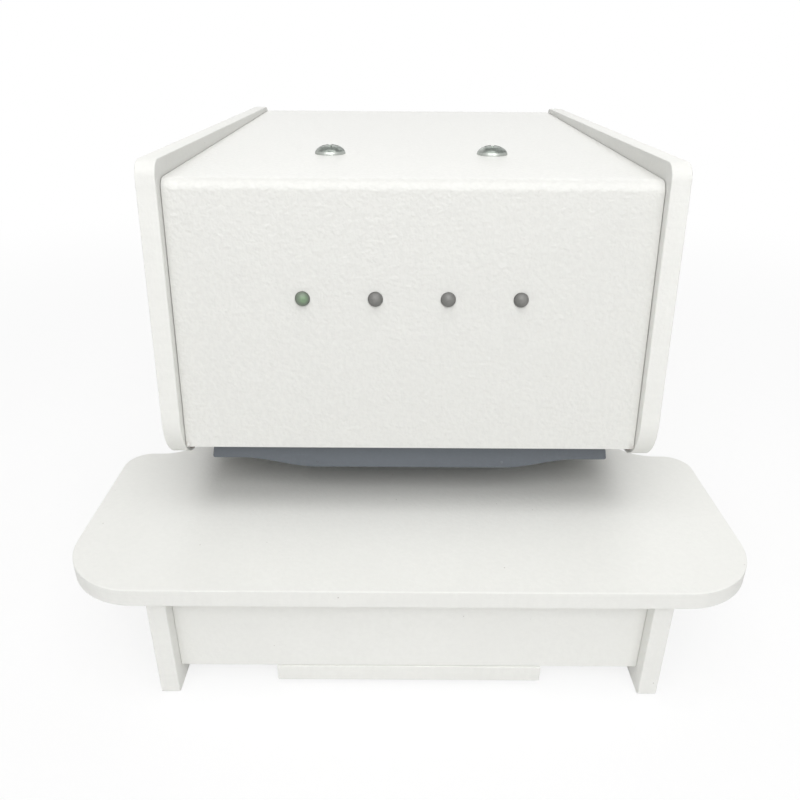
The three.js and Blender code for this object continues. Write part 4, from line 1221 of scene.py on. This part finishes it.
@dataclass
class Cover:
    """The bent sheet over the head, with its hinge, lamps and fasteners."""

    housing: Housing
    setback: float = 4.8
    sheet: float = 1.5
    half: float = 98.7
    bottom: float = 92.6
    bend: float = 5.0
    rear_gap: float = 0.5
    lamp_count: int = 4
    lamp_pitch: float = 30.0
    lamp_drop: float = 47.0
    lamp_radius: float = 3.0
    lamp_height: float = 2.6
    lamp_depth: float = 3.4
    lamp_play: float = 0.15
    lamp_seat: float = 0.3
    flange: float = 0.9
    flange_thick: float = 1.0
    board_gap: float = 4.0
    board: float = 1.6
    resistor: tuple[Point, Point] = ((-2.2, -5.4, -0.7), (0.4, -4.0, 0.0))
    plug: tuple[Point, Point] = ((-7.0, -3.0, -5.0), (7.0, 3.0, 0.0))
    fastener_x: float = 38.0
    fastener_y: float = -32.0
    fastener_hole: float = 3.3
    shank: float = 3.0
    hinge_y: float = 162.5
    barrel_x: float = 65.0
    barrel_half: float = 15.0
    barrel_radius: float = 3.6
    barrel_bore: float = 2.3
    barrel_sink: float = 0.3
    rod_radius: float = 2.0
    rod_half: float = 104.7
    stop: Sequence[Point] = ((0, 0), (1.5, 0), (1.7, 0.9), (1.2, 2.0), (0, 2.3))
    stop_offset: tuple[float, float, float] = (-2.0, 0.4, 0.9)

    def front(self, height: float) -> float:
        """Where the outside of the cover's front lies at a height."""
        return self.setback + self.housing.head_front(height)

    def inside(self, height: float) -> float:
        """Where the inside of the cover's front lies at a height."""
        return self.front(height) + self.sheet / math.cos(self.housing.lean)

    def lamp_frame(self, index: int) -> Matrix:
        """The place of one lamp, with Z looking out of the sheet.

        Args:
            index: The lamp's number from the left, from 0.

        Returns:
            The matrix that carries a lamp there.
        """
        height = self.housing.cover_top - self.lamp_drop
        x = (index - (self.lamp_count - 1) / 2) * self.lamp_pitch
        spot = Matrix.Translation((x, self.front(height), height))
        return spot @ Matrix.Rotation(SQUARE - self.housing.lean, 4, "X")

    def build(self) -> None:
        """Makes the sheet and everything that rides on it."""
        self.sheet_metal()
        for index in range(self.lamp_count):
            self.lamp(index)
        self.lamp_board()
        for side in Side:
            self.fastener(side)
            self.corner_stop(side)

    def sheet_metal(self) -> None:
        """One sheet bent over the front, with holes, the two knuckles of its hinge, and their rod."""
        top = self.housing.cover_top
        under = top - self.sheet
        rear = self.housing.rear - self.rear_gap
        outline = [
            (self.front(self.bottom), self.bottom), (self.inside(self.bottom), self.bottom),
            (self.inside(under), under, self.bend - self.sheet), (rear, under), (rear, top),
            (self.front(top), top, self.bend),
        ]
        lamp_hole = self.lamp_radius + self.lamp_play
        holes = [moved(rod(lamp_hole, -6, 6, Axis.Z, segments=40), self.lamp_frame(index))
                 for index in range(self.lamp_count)]
        holes += [rod(self.fastener_hole, under - 4, top + 4, Axis.Z,
                      (side.value * self.fastener_x, self.fastener_y, 0)) for side in Side]
        shape = boolean(plate(outline, Axis.X, -self.half, self.half, steps=14), holes)
        dress("cover", "cover", COVER_COAT, 0.22, shape=shape)
        hinge_z = under - self.barrel_radius + self.barrel_sink
        knuckles = [ring(self.barrel_bore, self.barrel_radius, -self.barrel_half, self.barrel_half, Axis.X,
                         (side.value * self.barrel_x, self.hinge_y, hinge_z), 32) for side in Side]
        make_piece("cover_knuckles", gathered(knuckles), "cover", COVER_COAT, 0.15)
        hinge_rod = rod(self.rod_radius, -self.rod_half, self.rod_half, Axis.X, (0, self.hinge_y, hinge_z))
        dress("cover_hinge_rod", "frame", SHAFT_STEEL, 0.3, shape=hinge_rod)

    def lamp(self, index: int) -> None:
        """A domed lamp that stands a little out of its hole.

        Args:
            index: The lamp's number from the left, from 0.
        """
        radius, seat = self.lamp_radius, -self.sheet - self.lamp_seat
        foot, under, wide = seat - self.lamp_depth, seat - self.flange_thick, radius + self.flange
        profile = [(0, foot), (radius, foot), (radius, under), (wide, under), (wide, seat), (radius, seat),
                   *arc(radius, self.lamp_height, range(0, 90, 9)), (0, self.lamp_height)]
        shape = moved(turned(profile, segments=36), self.lamp_frame(index))
        dress(f"lamp_{index + 1}", "cover", SMOKED_LENS if index else GREEN_LENS, shape=shape)

    def lamp_board(self) -> None:
        """The circuit board behind the lamps, with its resistors and its plug."""
        dress("lamp_board", "cover", MASK_GREEN, 0.12)
        back = Matrix.Translation((0, 0, -self.sheet - self.board_gap - self.board))
        middle = Matrix.Translation((self.lamp_pitch * (self.lamp_count - 1) / 2, 0, 0))
        parts = [moved(block(*self.resistor), self.lamp_frame(index) @ back)
                 for index in range(self.lamp_count)]
        parts.append(moved(block(*self.plug), self.lamp_frame(0) @ middle @ back))
        make_piece("lamp_board_parts", gathered(parts), "cover", BLACK, 0.15)

    def fastener(self, side: Side) -> None:
        """A domed screw with a cross recess that locks the cover.

        Args:
            side: Left or right.
        """
        x, top = side.value * self.fastener_x, self.housing.cover_top
        head = COVER_FASTENER.heads([((x, self.fastener_y, top), UP, 90 - side.value * 6)])
        shank = rod(self.shank, top - 12, top - 1, Axis.Z, (x, self.fastener_y, 0))
        node = f"cover_fastener_{side.word}"
        dress(node, node, NICKEL, shape=gathered([head, shank]))

    def corner_stop(self, side: Side) -> None:
        """A small rubber stop at a lower corner of the sheet.

        Args:
            side: Left or right.
        """
        across, behind, up = self.stop_offset
        spot = (side.value * (self.half + across), self.inside(self.bottom) + behind, self.bottom + up)
        shape = turned(self.stop, segments=20)
        moved(shape, Matrix.Translation(spot) @ Matrix.Rotation(math.pi, 4, "X"))
        make_piece(f"cover_stop_{side.word}", shape, "cover", DARK_RUBBER)


@dataclass
class PressFrame:
    """The upright steel plates with their bridge, rods, bushes and sockets."""

    rod_x: float = 62.0
    rod_y: float = -36.0
    rod_radius: float = 5.0
    rod_head: float = 8.0
    rod_head_height: float = 4.0
    rod_chamfer: float = 0.6
    rod_key: float = 3.0
    rod_key_depth: float = 2.0
    bush_bore: float = 5.3
    bush_radius: float = 8.0
    flange_radius: float = 10.5
    flange_thick: float = 2.5
    socket_bore: float = 4.4
    socket_radius: float = 8.0
    coil_radius: float = 7.2
    coil_wire: float = 0.8
    coil_turns: int = 8
    bridge_screw_x: float = 81.5
    bridge_screw_inset: float = 9.0
    foot_screw_x: float = 72.5
    foot_screw_y: tuple[float, ...] = (14.0, 44.0, 68.0)
    foot_thick: float = 3.0

    def build(self) -> None:
        """Makes the fixed steel of the press."""
        for side in Side:
            dress(f"mechanism_plate_{side.word}", "frame", ZINC, 0.35)
            self.guide_rod(side)
            self.bush(side)
            self.socket(side)
            self.return_spring(side)
        dress("bridge_plate", "frame", ZINC, 0.4)
        self.bridge_screws()

    def guide_rod(self, side: Side) -> None:
        """A rod with a head on the bridge and a hole in the head.

        Args:
            side: Left or right.
        """
        node = f"guide_rod_{side.word}"
        low, high = node_box(node)
        radius, head, ease = self.rod_radius, self.rod_head, self.rod_chamfer
        neck, pit = high.z - self.rod_head_height, high.z - self.rod_key_depth
        profile = [(0, low.z), (radius - ease, low.z), (radius, low.z + 0.8), (radius, neck), (head, neck),
                   (head, high.z - ease), (head - ease, high.z), (self.rod_key, high.z), (self.rod_key, pit),
                   (0, pit)]
        shape = turned(profile, Axis.Z, (side.value * self.rod_x, self.rod_y, 0))
        dress(node, "frame", ROD_STEEL, shape=shape)

    def bush(self, side: Side) -> None:
        """A flanged bush for the cam shaft, with its flange inside the plate.

        Args:
            side: Left or right.
        """
        node = f"cam_bush_{side.word}"
        low, high = node_box(node)
        thick = self.flange_thick
        ends = (low.x, low.x + thick) if side is Side.RIGHT else (high.x - thick, high.x)
        centre = (0, *CAM_AXLE)
        body = ring(self.bush_bore, self.bush_radius, low.x, high.x, Axis.X, centre)
        flange = ring(self.bush_bore, self.flange_radius, *ends, Axis.X, centre)
        dress(node, "frame", BRASS, 0.2, shape=boolean(flange, [body], "UNION"))

    def socket(self, side: Side) -> None:
        """The socket that a cover fastener locks into.

        Args:
            side: Left or right.
        """
        node = f"fastener_socket_{side.word}"
        low, high = node_box(node)
        middle = node_middle(node)
        shape = ring(self.socket_bore, self.socket_radius, low.z, high.z, Axis.Z, (middle.x, middle.y, 0))
        dress(node, "frame", SATIN, 0.4, shape=shape)

    def return_spring(self, side: Side) -> None:
        """A spring round the guide rod, between the bridge and the carriage.

        Args:
            side: Left or right.
        """
        node = f"return_spring_{side.word}"
        low, high = node_box(node)
        foot = Matrix.Translation((side.value * self.rod_x, self.rod_y, low.z))
        shape = coil(self.coil_radius, self.coil_wire, high.z - low.z, self.coil_turns)
        spring = dress(node, "frame", SPRING, shape=moved(shape, foot))
        # The blend carries it between two bodies, so it leaves the one that it rides on.
        spring.parent = None
        x, y = side.value * self.rod_x * MILLI, self.rod_y * MILLI
        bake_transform(spring)

    def bridge_screws(self) -> None:
        """Pan screws that hold the bridge to the plates, and the plates' feet to the shelf."""
        low, high = node_box("bridge_plate")
        foot, _ = node_box("mechanism_plate_left")
        inset = self.bridge_screw_inset
        places = [((side.value * self.bridge_screw_x, y, high.z), UP, 13.0 * y)
                  for side in Side for y in (low.y + inset, high.y - inset)]
        places += [((side.value * self.foot_screw_x, y, foot.z + self.foot_thick), UP, 7.0 * y)
                   for side in Side for y in self.foot_screw_y]
        make_piece("press_screws", PRESS_SCREW.heads(places), "frame", ZINC)


@dataclass
class Drive:
    """The motor, its gearbox, the gears, the shaft and the cam."""

    shaft: float = 5.0
    groove: float = 4.4
    collar: float = 9.5
    cam_half: float = 6.2
    collar_end: float = 11.0
    gear_collar: float = 0.9
    groove_depth: float = 0.5
    end_bore: float = 3.3
    boss: float = 6.0
    boss_length: float = 4.0
    crimp: float = 0.35
    vent_half: float = 1.2
    tag_offset: float = 6.0
    tag_half: float = 1.4

    def build(self) -> None:
        """Makes the drive train."""
        self.cam_shaft()
        dress("drive_cam", "cam_shaft", STEEL_Z, 0.35)
        dress("cam_gear", "cam_shaft", STEEL_Z, 0.18)
        self.collars()
        dress("motor_pinion", "motor_pinion", BRASS, 0.15)
        self.gearbox()
        self.motor()

    def cam_shaft(self) -> None:
        """The ground shaft, with a ring groove near its right-hand end."""
        low, high = node_box("cam_shaft")
        radius, groove = self.shaft, self.groove
        profile = [(0, low.x), (radius - 0.5, low.x), (radius, low.x + 0.6), (radius, high.x - 4),
                   (groove, high.x - 4), (groove, high.x - 3), (radius, high.x - 3), (radius, high.x - 0.6),
                   (groove, high.x), (0, high.x)]
        dress("cam_shaft", "cam_shaft", SHAFT_STEEL, shape=turned(profile, Axis.X, (0, *CAM_AXLE)))

    def collars(self) -> None:
        """Collars that hold the cam and the gear on the shaft."""
        _, gear = node_box("cam_gear")
        spans = [(gear.x, gear.x + self.gear_collar), (self.cam_half, self.collar_end),
                 (-self.collar_end, -self.cam_half)]
        rings = [ring(self.shaft + 0.05, self.collar, *span, Axis.X, (0, *CAM_AXLE)) for span in spans]
        make_piece("shaft_collars", gathered(rings), "cam_shaft", STEEL_Y, 0.25)

    def gearbox(self) -> None:
        """A round gearbox of stacked rings, open round its output shaft."""
        low, high = node_box("gearbox")
        middle = node_middle("gearbox")
        radius, bore = (high.z - low.z) / 2, self.end_bore
        waist = radius - self.groove_depth
        profile = [(bore, high.x - 6), (bore, high.x), (radius, high.x), (radius, high.x - 3),
                   (waist, high.x - 3.4), (waist, high.x - 10), (radius, high.x - 10.4),
                   (radius, high.x - 14), (waist, high.x - 14.4), (waist, low.x + 2.4), (radius, low.x + 2),
                   (radius, low.x), (0, low.x), (0, high.x - 6)]
        shape = turned(profile, Axis.X, (0, middle.y, middle.z), 56, bored=True)
        dress("gearbox", "frame", CASTING, 0.2, shape=shape)

    def motor(self) -> None:
        """A motor can with a crimped end, vent slots, a bearing boss and two terminals."""
        low, high = node_box("motor")
        middle = node_middle("motor")
        radius, can, boss, vent = (high.z - low.z) / 2, low.x + self.boss_length, self.boss, self.vent_half
        waist = radius - self.crimp
        profile = [(0, low.x), (boss - 0.6, low.x), (boss, low.x + 0.6), (boss, can), (radius - 1.4, can),
                   (radius - 0.2, can + 1), (radius, can + 2), (radius, can + 9), (waist, can + 9.2),
                   (waist, can + 10.4), (radius, can + 10.6), (radius, high.x - 1), (radius - 0.8, high.x),
                   (0, high.x)]
        axle = Matrix.Translation((0, middle.y, middle.z))
        slots = [moved(block((can - 2, -vent, radius * 0.5), (can + 1.2, vent, radius * 0.8)),
                       axle @ Matrix.Rotation(math.radians(turn), 4, "X")) for turn in range(0, 360, 60)]
        shape = boolean(turned(profile, Axis.X, (0, middle.y, middle.z), 56), slots)
        dress("motor", "frame", ZINC, shape=shape)
        half = self.tag_half
        tags = [block((can - 3.6, y - half, middle.z + 9), (can + 1, y + half, middle.z + 9.6))
                for y in (middle.y - self.tag_offset, middle.y + self.tag_offset)]
        make_piece("motor_tags", gathered(tags), "frame", PIN_BRASS, 0.1)


@dataclass
class PressHead:
    """What slides down onto the paper: carriage, nose bar, magazines and driver."""

    lobe: float = 43.0
    ramp: float = 76.0
    rise: float = 4.7
    slant: float = 4.0
    ramp_steps: int = 24
    pin_x: float = 42.0
    staple_pitch: float = 0.64
    staple_gap: float = 0.04
    wire: float = 0.6
    pusher_travel: float = 40.0
    driver_travel: float = 8.0
    roller_bore: float = 2.8
    race_in: float = 4.0
    race_out: float = 5.4
    pin_radius: float = 2.5

    def build(self) -> None:
        """Makes the sliding parts."""
        dress("press_carriage", "press_head", SATIN, 0.35)
        self.nose_bar()
        for side in Side:
            word = side.word
            dress(f"magazine_{word}", "press_head", STEEL_Y, 0.2)
            self.staples(f"staple_strip_{word}")
            dress(f"staple_pusher_{word}", f"pusher_{word}", BLACK, 0.3)
            dress(f"driver_blade_{word}", "driver", TOOL_STEEL, 0.12)
            self.springs(word)
        dress("driver_bar", "driver", STEEL_Z, 0.4)
        self.roller()

    def nose_bar(self) -> None:
        """The dark bar under the head, deeper in the middle, with its two pins."""
        low, high = node_box("nose_bar")
        half, shoulder = high.x, low.z + self.rise
        curve = []
        for step in range(self.ramp_steps + 1):
            share = step / self.ramp_steps
            ease = share * share * (3 - 2 * share)
            curve.append((self.lobe + (self.ramp - self.lobe) * share, low.z + self.rise * ease))
        outline = [(half - self.slant, high.z), (self.slant - half, high.z), (-half, shoulder, 1),
                   *[(-x, z) for x, z in reversed(curve)], *curve, (half, shoulder, 1)]
        dress("nose_bar", "press_head", NOSE_GREY, 0.6, 3, plate(outline, Axis.Y, low.y, high.y, steps=5))
        places = [((side.value * self.pin_x, low.y + 0.1, low.z + 3.1), FORWARD, 30.0) for side in Side]
        make_piece("nose_pins", NOSE_PIN.heads(places), "press_head", DARK_ZINC)

    def staples(self, node: str) -> None:
        """A strip of staples, glued side by side.

        Args:
            node: The strip's node.
        """
        low, high = node_box(node)
        wire, gap, pitch = self.wire, self.staple_gap, self.staple_pitch
        outline = [(low.x, low.z), (low.x, high.z), (high.x, high.z), (high.x, low.z), (high.x - wire, low.z),
                   (high.x - wire, high.z - wire), (low.x + wire, high.z - wire), (low.x + wire, low.z)]
        staple = new_mesh("staple", plate(outline, Axis.Y, low.y + gap, low.y + pitch - gap))
        count = int((high.y - low.y) / pitch)
        shape = copies(staple, [Matrix.Translation((0, index * pitch, 0)) for index in range(count)])
        bpy.data.meshes.remove(staple)
        dress(node, "press_head", STAPLE_WIRE, shape=shape)

    def springs(self, word: str) -> None:
        """The pusher's and the driver's springs.

        Args:
            word: The side's name.
        """
        node = f"pusher_spring_{word}"
        low, high = node_box(node)
        length = high.y - low.y
        shape = moved(coil(2.6, 0.45, length, 12), Axis.Y.from_z())
        spring = dress(node, "press_head", SPRING, shape=moved(shape, self.foot(node, Axis.Y)))
        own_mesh(spring)
        node = f"drive_spring_{word}"
        low, high = node_box(node)
        length = high.z - low.z
        shape = coil(5.0, 0.9, length, 4, steps=24)
        spring = dress(node, "press_head", SPRING, shape=moved(shape, self.foot(node, Axis.Z)))
        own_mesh(spring)

    def foot(self, node: str, axis: Axis) -> Matrix:
        """Where a spring starts: its node's middle, at the low end of an axis.

        Args:
            node: The spring's node.
            axis: The direction of its length.

        Returns:
            The move from the middle of the scene.
        """
        low, _ = node_box(node)
        place = node_middle(node)
        place[axis.value] = low[axis.value]
        return Matrix.Translation(place)

    def roller(self) -> None:
        """The roller under the cam, a ball race on its pin."""
        low, high = node_box("cam_roller")
        middle = node_middle("cam_roller")
        radius = (high.z - low.z) / 2
        left = [(self.roller_bore, low.x), (self.race_in - 0.2, low.x), (self.race_in, low.x + 0.4),
                (self.race_out, low.x + 0.4), (self.race_out + 0.2, low.x), (radius - 0.3, low.x),
                (radius, low.x + 0.3)]
        right = [(across, low.x + high.x - along) for across, along in reversed(left)]
        centre = (0, middle.y, middle.z)
        shape = turned(left + right, Axis.X, centre, 48, bored=True)
        dress("cam_roller", "roller", SHAFT_STEEL, shape=shape)
        low, high = node_box("roller_pin")
        pin = rod(self.pin_radius, low.x, high.x, Axis.X, centre)
        dress("roller_pin", "driver", SHAFT_STEEL, 0.3, shape=pin)


@dataclass
class Electrics:
    """The inlet, the switch, the power supply, the control board and the paper trigger."""

    socket_z: float = 32.0
    socket_width: float = 27.0
    socket_height: float = 20.0
    socket_wall: float = 2.0
    socket_cut: float = 4.5
    mark_sink: float = 0.2
    mark_height: float = 0.08
    terminal_step: float = 8.6
    terminals: int = 7
    standoff: float = 7.0
    board: float = 1.6
    case_grow: float = 0.12
    can: Sequence[Point] = ((0, 0), (4, 0), (4, 1), (3.8, 1.4), (4, 1.8), (4, 10.6), (3.6, 11), (0, 11))
    can_spots: Sequence[Point] = ((-30, 22), (-19, 24), (26, -20))
    leg_pitch: float = 3.0
    leg_width: float = 0.8
    leg_row: float = 6.4

    def build(self) -> None:
        """Makes the electrical parts."""
        self.inlet()
        self.power_switch()
        self.supply()
        self.control_board()
        dress("trigger_bracket", "frame", STEEL_Y, 0.2)
        dress("paper_trigger", "paper_trigger", IVORY, 0.3)
        dress("paper_switch", "frame", BLACK, 0.3)

    def inlet(self) -> None:
        """The appliance inlet: a flange, a socket and three pins."""
        low, high = node_box("mains_inlet")
        x, face = (low.x + high.x) / 2, high.y
        corners = [(low.x, low.z, 3), (high.x, low.z, 3), (high.x, high.z, 3), (low.x, high.z, 3)]
        flange = plate(corners, Axis.Y, face - 2, face, steps=6)
        body = plate(self.socket_outline(x, 0.0), Axis.Y, low.y, face - 0.01, steps=4)
        bowl = plate(self.socket_outline(x, self.socket_wall), Axis.Y, low.y + 4, face + 3, steps=4)
        shape = boolean(boolean(flange, [body], "UNION"), [bowl])
        dress("mains_inlet", "frame", BLACK, 0.3, shape=shape)
        pins = [block((x + shift - 1, low.y + 3, z - 2), (x + shift + 1, face - 3, z + 2))
                for shift, z in ((-7, self.socket_z - 1), (0, self.socket_z + 2), (7, self.socket_z - 1))]
        make_piece("inlet_pins", gathered(pins), "frame", PIN_BRASS, 0.35)

    def socket_outline(self, x: float, wall: float) -> list[Point]:
        """The socket's outline, with its two upper corners cut off.

        Args:
            x: The socket's middle.
            wall: How far inside the socket's outer face it lies.

        Returns:
            The corners with their radii.
        """
        half, tall, cut = self.socket_width / 2 - wall, self.socket_height / 2 - wall, self.socket_cut
        low, high = self.socket_z - tall, self.socket_z + tall
        return [(x - half, low, 1), (x + half, low, 1), (x + half, high - cut, 1), (x + half - cut, high, 1),
                (x - half + cut, high, 1), (x - half, high - cut, 1)]

    def power_switch(self) -> None:
        """The rocker in its frame, with the ring and the bar of its marks."""
        dress("switch_frame", "frame", BLACK, 0.4)
        dress("power_rocker", "power_rocker", BLACK, 0.35)
        x = node_middle("power_rocker").x
        solid = node_shape("power_rocker")
        faces = sorted((face for face in solid.faces if face.normal.y > 0.5),
                       key=lambda face: face.calc_center_median().z)
        ring_mark = ring(1.4, 2.0, -self.mark_sink, self.mark_height, Axis.Z, (0, 0, 0), 28)
        bar_mark = block((-0.35, -1.9, -self.mark_sink), (0.35, 1.9, self.mark_height))
        marks = []
        for face, mark in ((faces[0], ring_mark), (faces[-1], bar_mark)):
            centre = face.calc_center_median()
            marks.append(moved(mark, Matrix.Translation((x, centre.y, centre.z)) @ facing(face.normal)))
        make_piece("rocker_marks", gathered(marks), "power_rocker", MARK)

    def supply(self) -> None:
        """The power supply: a punched case and a terminal block with its screws."""
        dress("power_supply", "frame", CASE_METAL, 0.6)
        _, high = node_box("power_supply")
        step, count = self.terminal_step, self.terminals
        start = -count * step / 2
        parts = [block((start - 2, high.y - 13, high.z - 7.9), (-start + 2, high.y - 0.5, high.z - 4))]
        parts += [block((x - 0.8, high.y - 12, high.z - 5), (x + 0.8, high.y - 0.8, high.z - 0.6))
                  for x in (start + index * step for index in range(count + 1))]
        make_piece("supply_terminals", gathered(parts), "frame", BLACK, 0.2)
        places = [((start + (index + 0.5) * step, high.y - 6.5, high.z - 4), UP, 23.0 * index)
                  for index in range(count)]
        make_piece("supply_screws", TERMINAL_SCREW.heads(places), "frame", ZINC)

    def control_board(self) -> None:
        """The control board: relay, chip, plug, capacitors and resistors on green board."""
        low, high = node_box("control_board")
        dress("control_board", "frame", MASK_GREEN, 0.15)
        middle, top = node_middle("control_board").y, TABLE_TOP + self.standoff + self.board
        width, depth, grow = high.x - low.x, high.y - low.y, self.case_grow
        for name, spot, size, tall, finish, edge in (
                ("relay_case", (0, 0.2), (0.2, 0.26), 15, BLACK, 0.6),
                ("chip_case", (-0.3, -0.05), (0.26, 0.16), 4, BLACK, 0.3),
                ("plug_case", (0.32, 0.28), (0.24, 0.12), 9, IVORY, 0.4)):
            x, y = spot[0] * width, middle + spot[1] * depth
            half_x, half_y = size[0] * width / 2 + grow, size[1] * depth / 2 + grow
            shell = block((x - half_x, y - half_y, top), (x + half_x, y + half_y, top + tall + grow))
            make_piece(name, shell, "frame", finish, edge)
        cans = [turned(self.can, Axis.Z, (x, middle + y, top), 28) for x, y in self.can_spots]
        make_piece("board_capacitors", gathered(cans), "frame", SATIN)
        small = [block((x, middle + y, top), (x + 3.2, middle + y + 1.6, top + 0.7))
                 for x in range(-44, 44, 11) for y in (-30, -24, 12) if abs(x - 26) > 8]
        make_piece("board_resistors", gathered(small), "frame", BLACK, 0.1)
        first, row = -0.3 * width - 14, middle - 0.05 * depth
        legs = [block((x, y - 0.9, top), (x + self.leg_width, y + 0.9, top + 1.8))
                for x in (first + index * self.leg_pitch for index in range(10))
                for y in (row - self.leg_row, row + self.leg_row)]
        make_piece("chip_legs", gathered(legs), "frame", STAPLE_WIRE)


@dataclass
class Studio:
    """The pale floor, the soft lights, the world and the camera, in metres, with the lens in pixels."""

    floor_size: float = 40.0
    floor_glow: float = 0.8
    white_near: float = 0.28
    white_far: float = 0.9
    sky: float = 0.2
    front_power: float = 15.0
    top_power: float = 13.0
    back_power: float = 6.0
    light_size: tuple[float, float] = (1.8, 0.9)
    target: tuple[float, float, float] = (0.0, -0.02, 0.1)
    focal: float = 745.5
    picture: float = 800.0
    sensor: float = 36.0
    pitch: float = math.radians(26.53)
    yaw: float = 0.0013
    roll: float = 0.0065
    eye: tuple[float, float, float] = (-0.00496, -0.39720, 0.25862)

    def build(self) -> None:
        """Makes the surroundings."""
        self.floor()
        self.world()
        self.light("front_light", (0.0, -1.246, 1.128), self.front_power)
        self.light("top_light", (0.0, -0.434, 1.645), self.top_power)
        self.light("back_light", (0.2, 1.3, 1.2), self.back_power)
        self.camera()
        bpy.context.scene.view_settings.view_transform = "Standard"

    def seen(self, graph: Graph) -> Signal:
        """What the camera sees, straight or by a reflection or through glass.

        Args:
            graph: The nodes of the floor or the world.

        Returns:
            1 for such a ray and 0 for any other.
        """
        path = graph.node("ShaderNodeLightPath")
        straight, glossy, through = (Signal(graph, path.outputs[f"Is {name} Ray"])
                                     for name in ("Camera", "Glossy", "Transmission"))
        return (straight + glossy + through).rise(0.0, 1.0)

    def floor(self) -> None:
        """A floor that is nearly white and still takes the machine's shadow."""
        shape = bmesh.new()
        bmesh.ops.create_grid(shape, x_segments=1, y_segments=1, size=self.floor_size / 2)
        floor = new_object("floor", new_mesh("floor", shape))
        material, graph = new_material("floor_paper")
        grain = graph.noise(90.0).rise(0.3, 0.7) * 0.2
        colour = graph.colour(paint_colour(246, 246, 246), [(grain, paint_colour(243, 243, 243))])
        paper = graph.value("ShaderNodeBsdfDiffuse", inputs={"Color": colour})
        glow = graph.value("ShaderNodeEmission", inputs={"Color": (1, 1, 1, 1), "Strength": 1.0})
        away = graph.position.part(Axis.X).distance(graph.position.part(Axis.Y))
        share = self.floor_glow + away.rise(self.white_near, self.white_far) * (1 - self.floor_glow)
        mixed = {0: self.seen(graph) * share, 1: paper, 2: glow}
        graph.finish(graph.value("ShaderNodeMixShader", inputs=mixed))
        floor.data.materials.append(material)

    def world(self) -> None:
        """White where it is seen, and a plain sky of light elsewhere."""
        world = bpy.data.worlds.new("studio")
        world.use_nodes = True
        graph = Graph(world.node_tree)
        sky, white = (graph.value("ShaderNodeBackground", inputs={"Color": (1, 1, 1, 1), "Strength": power})
                      for power in (self.sky, 1.0))
        shader = graph.value("ShaderNodeMixShader", inputs={0: self.seen(graph), 1: sky, 2: white})
        graph.finish(shader, "ShaderNodeOutputWorld")
        bpy.context.scene.world = world

    def light(self, name: str, place: Point, power: float) -> None:
        """A soft light that looks at the machine.

        Args:
            name: The light's name.
            place: Where it hangs, in metres.
            power: Its power in watts.
        """
        data = bpy.data.lights.new(name, "AREA")
        data.shape = "RECTANGLE"
        data.size, data.size_y = self.light_size
        data.energy = power
        light = new_object(name, data)
        light.location = place
        light.rotation_euler = (Vector(self.target) - Vector(place)).to_track_quat("-Z", "Y").to_euler()

    def camera(self) -> None:
        """The photograph's camera, from the fitted lens, place and turn."""
        data = bpy.data.cameras.new("camera")
        data.sensor_width = self.sensor
        data.lens = self.focal * self.sensor / self.picture
        data.clip_start, data.clip_end = 0.01, 50.0
        ahead = Vector((math.sin(self.yaw), math.cos(self.yaw), 0.0))
        level = Vector((math.cos(self.yaw), -math.sin(self.yaw), 0.0))
        up = Vector(UP) * math.cos(self.pitch) + ahead * math.sin(self.pitch)
        look = ahead * math.cos(self.pitch) - Vector(UP) * math.sin(self.pitch)
        right = level * math.cos(self.roll) + up * math.sin(self.roll)
        tall = up * math.cos(self.roll) - level * math.sin(self.roll)
        turn = Matrix((right, tall, -look)).transposed().to_4x4()
        camera = new_object("camera", data)
        camera.matrix_world = Matrix.Translation(self.eye) @ turn
        bpy.context.scene.camera = camera


def main() -> None:
    """Builds the machine and its surroundings."""
    logging.basicConfig(level=logging.INFO, format="%(name)s: %(message)s")
    housing = Housing()
    for group in (housing, Cover(housing), PressFrame(), Drive(), PressHead(), Electrics(), Studio()):
        log.info("building %s", type(group).__name__)
        group.build()


if __name__ == "__main__":
    main()
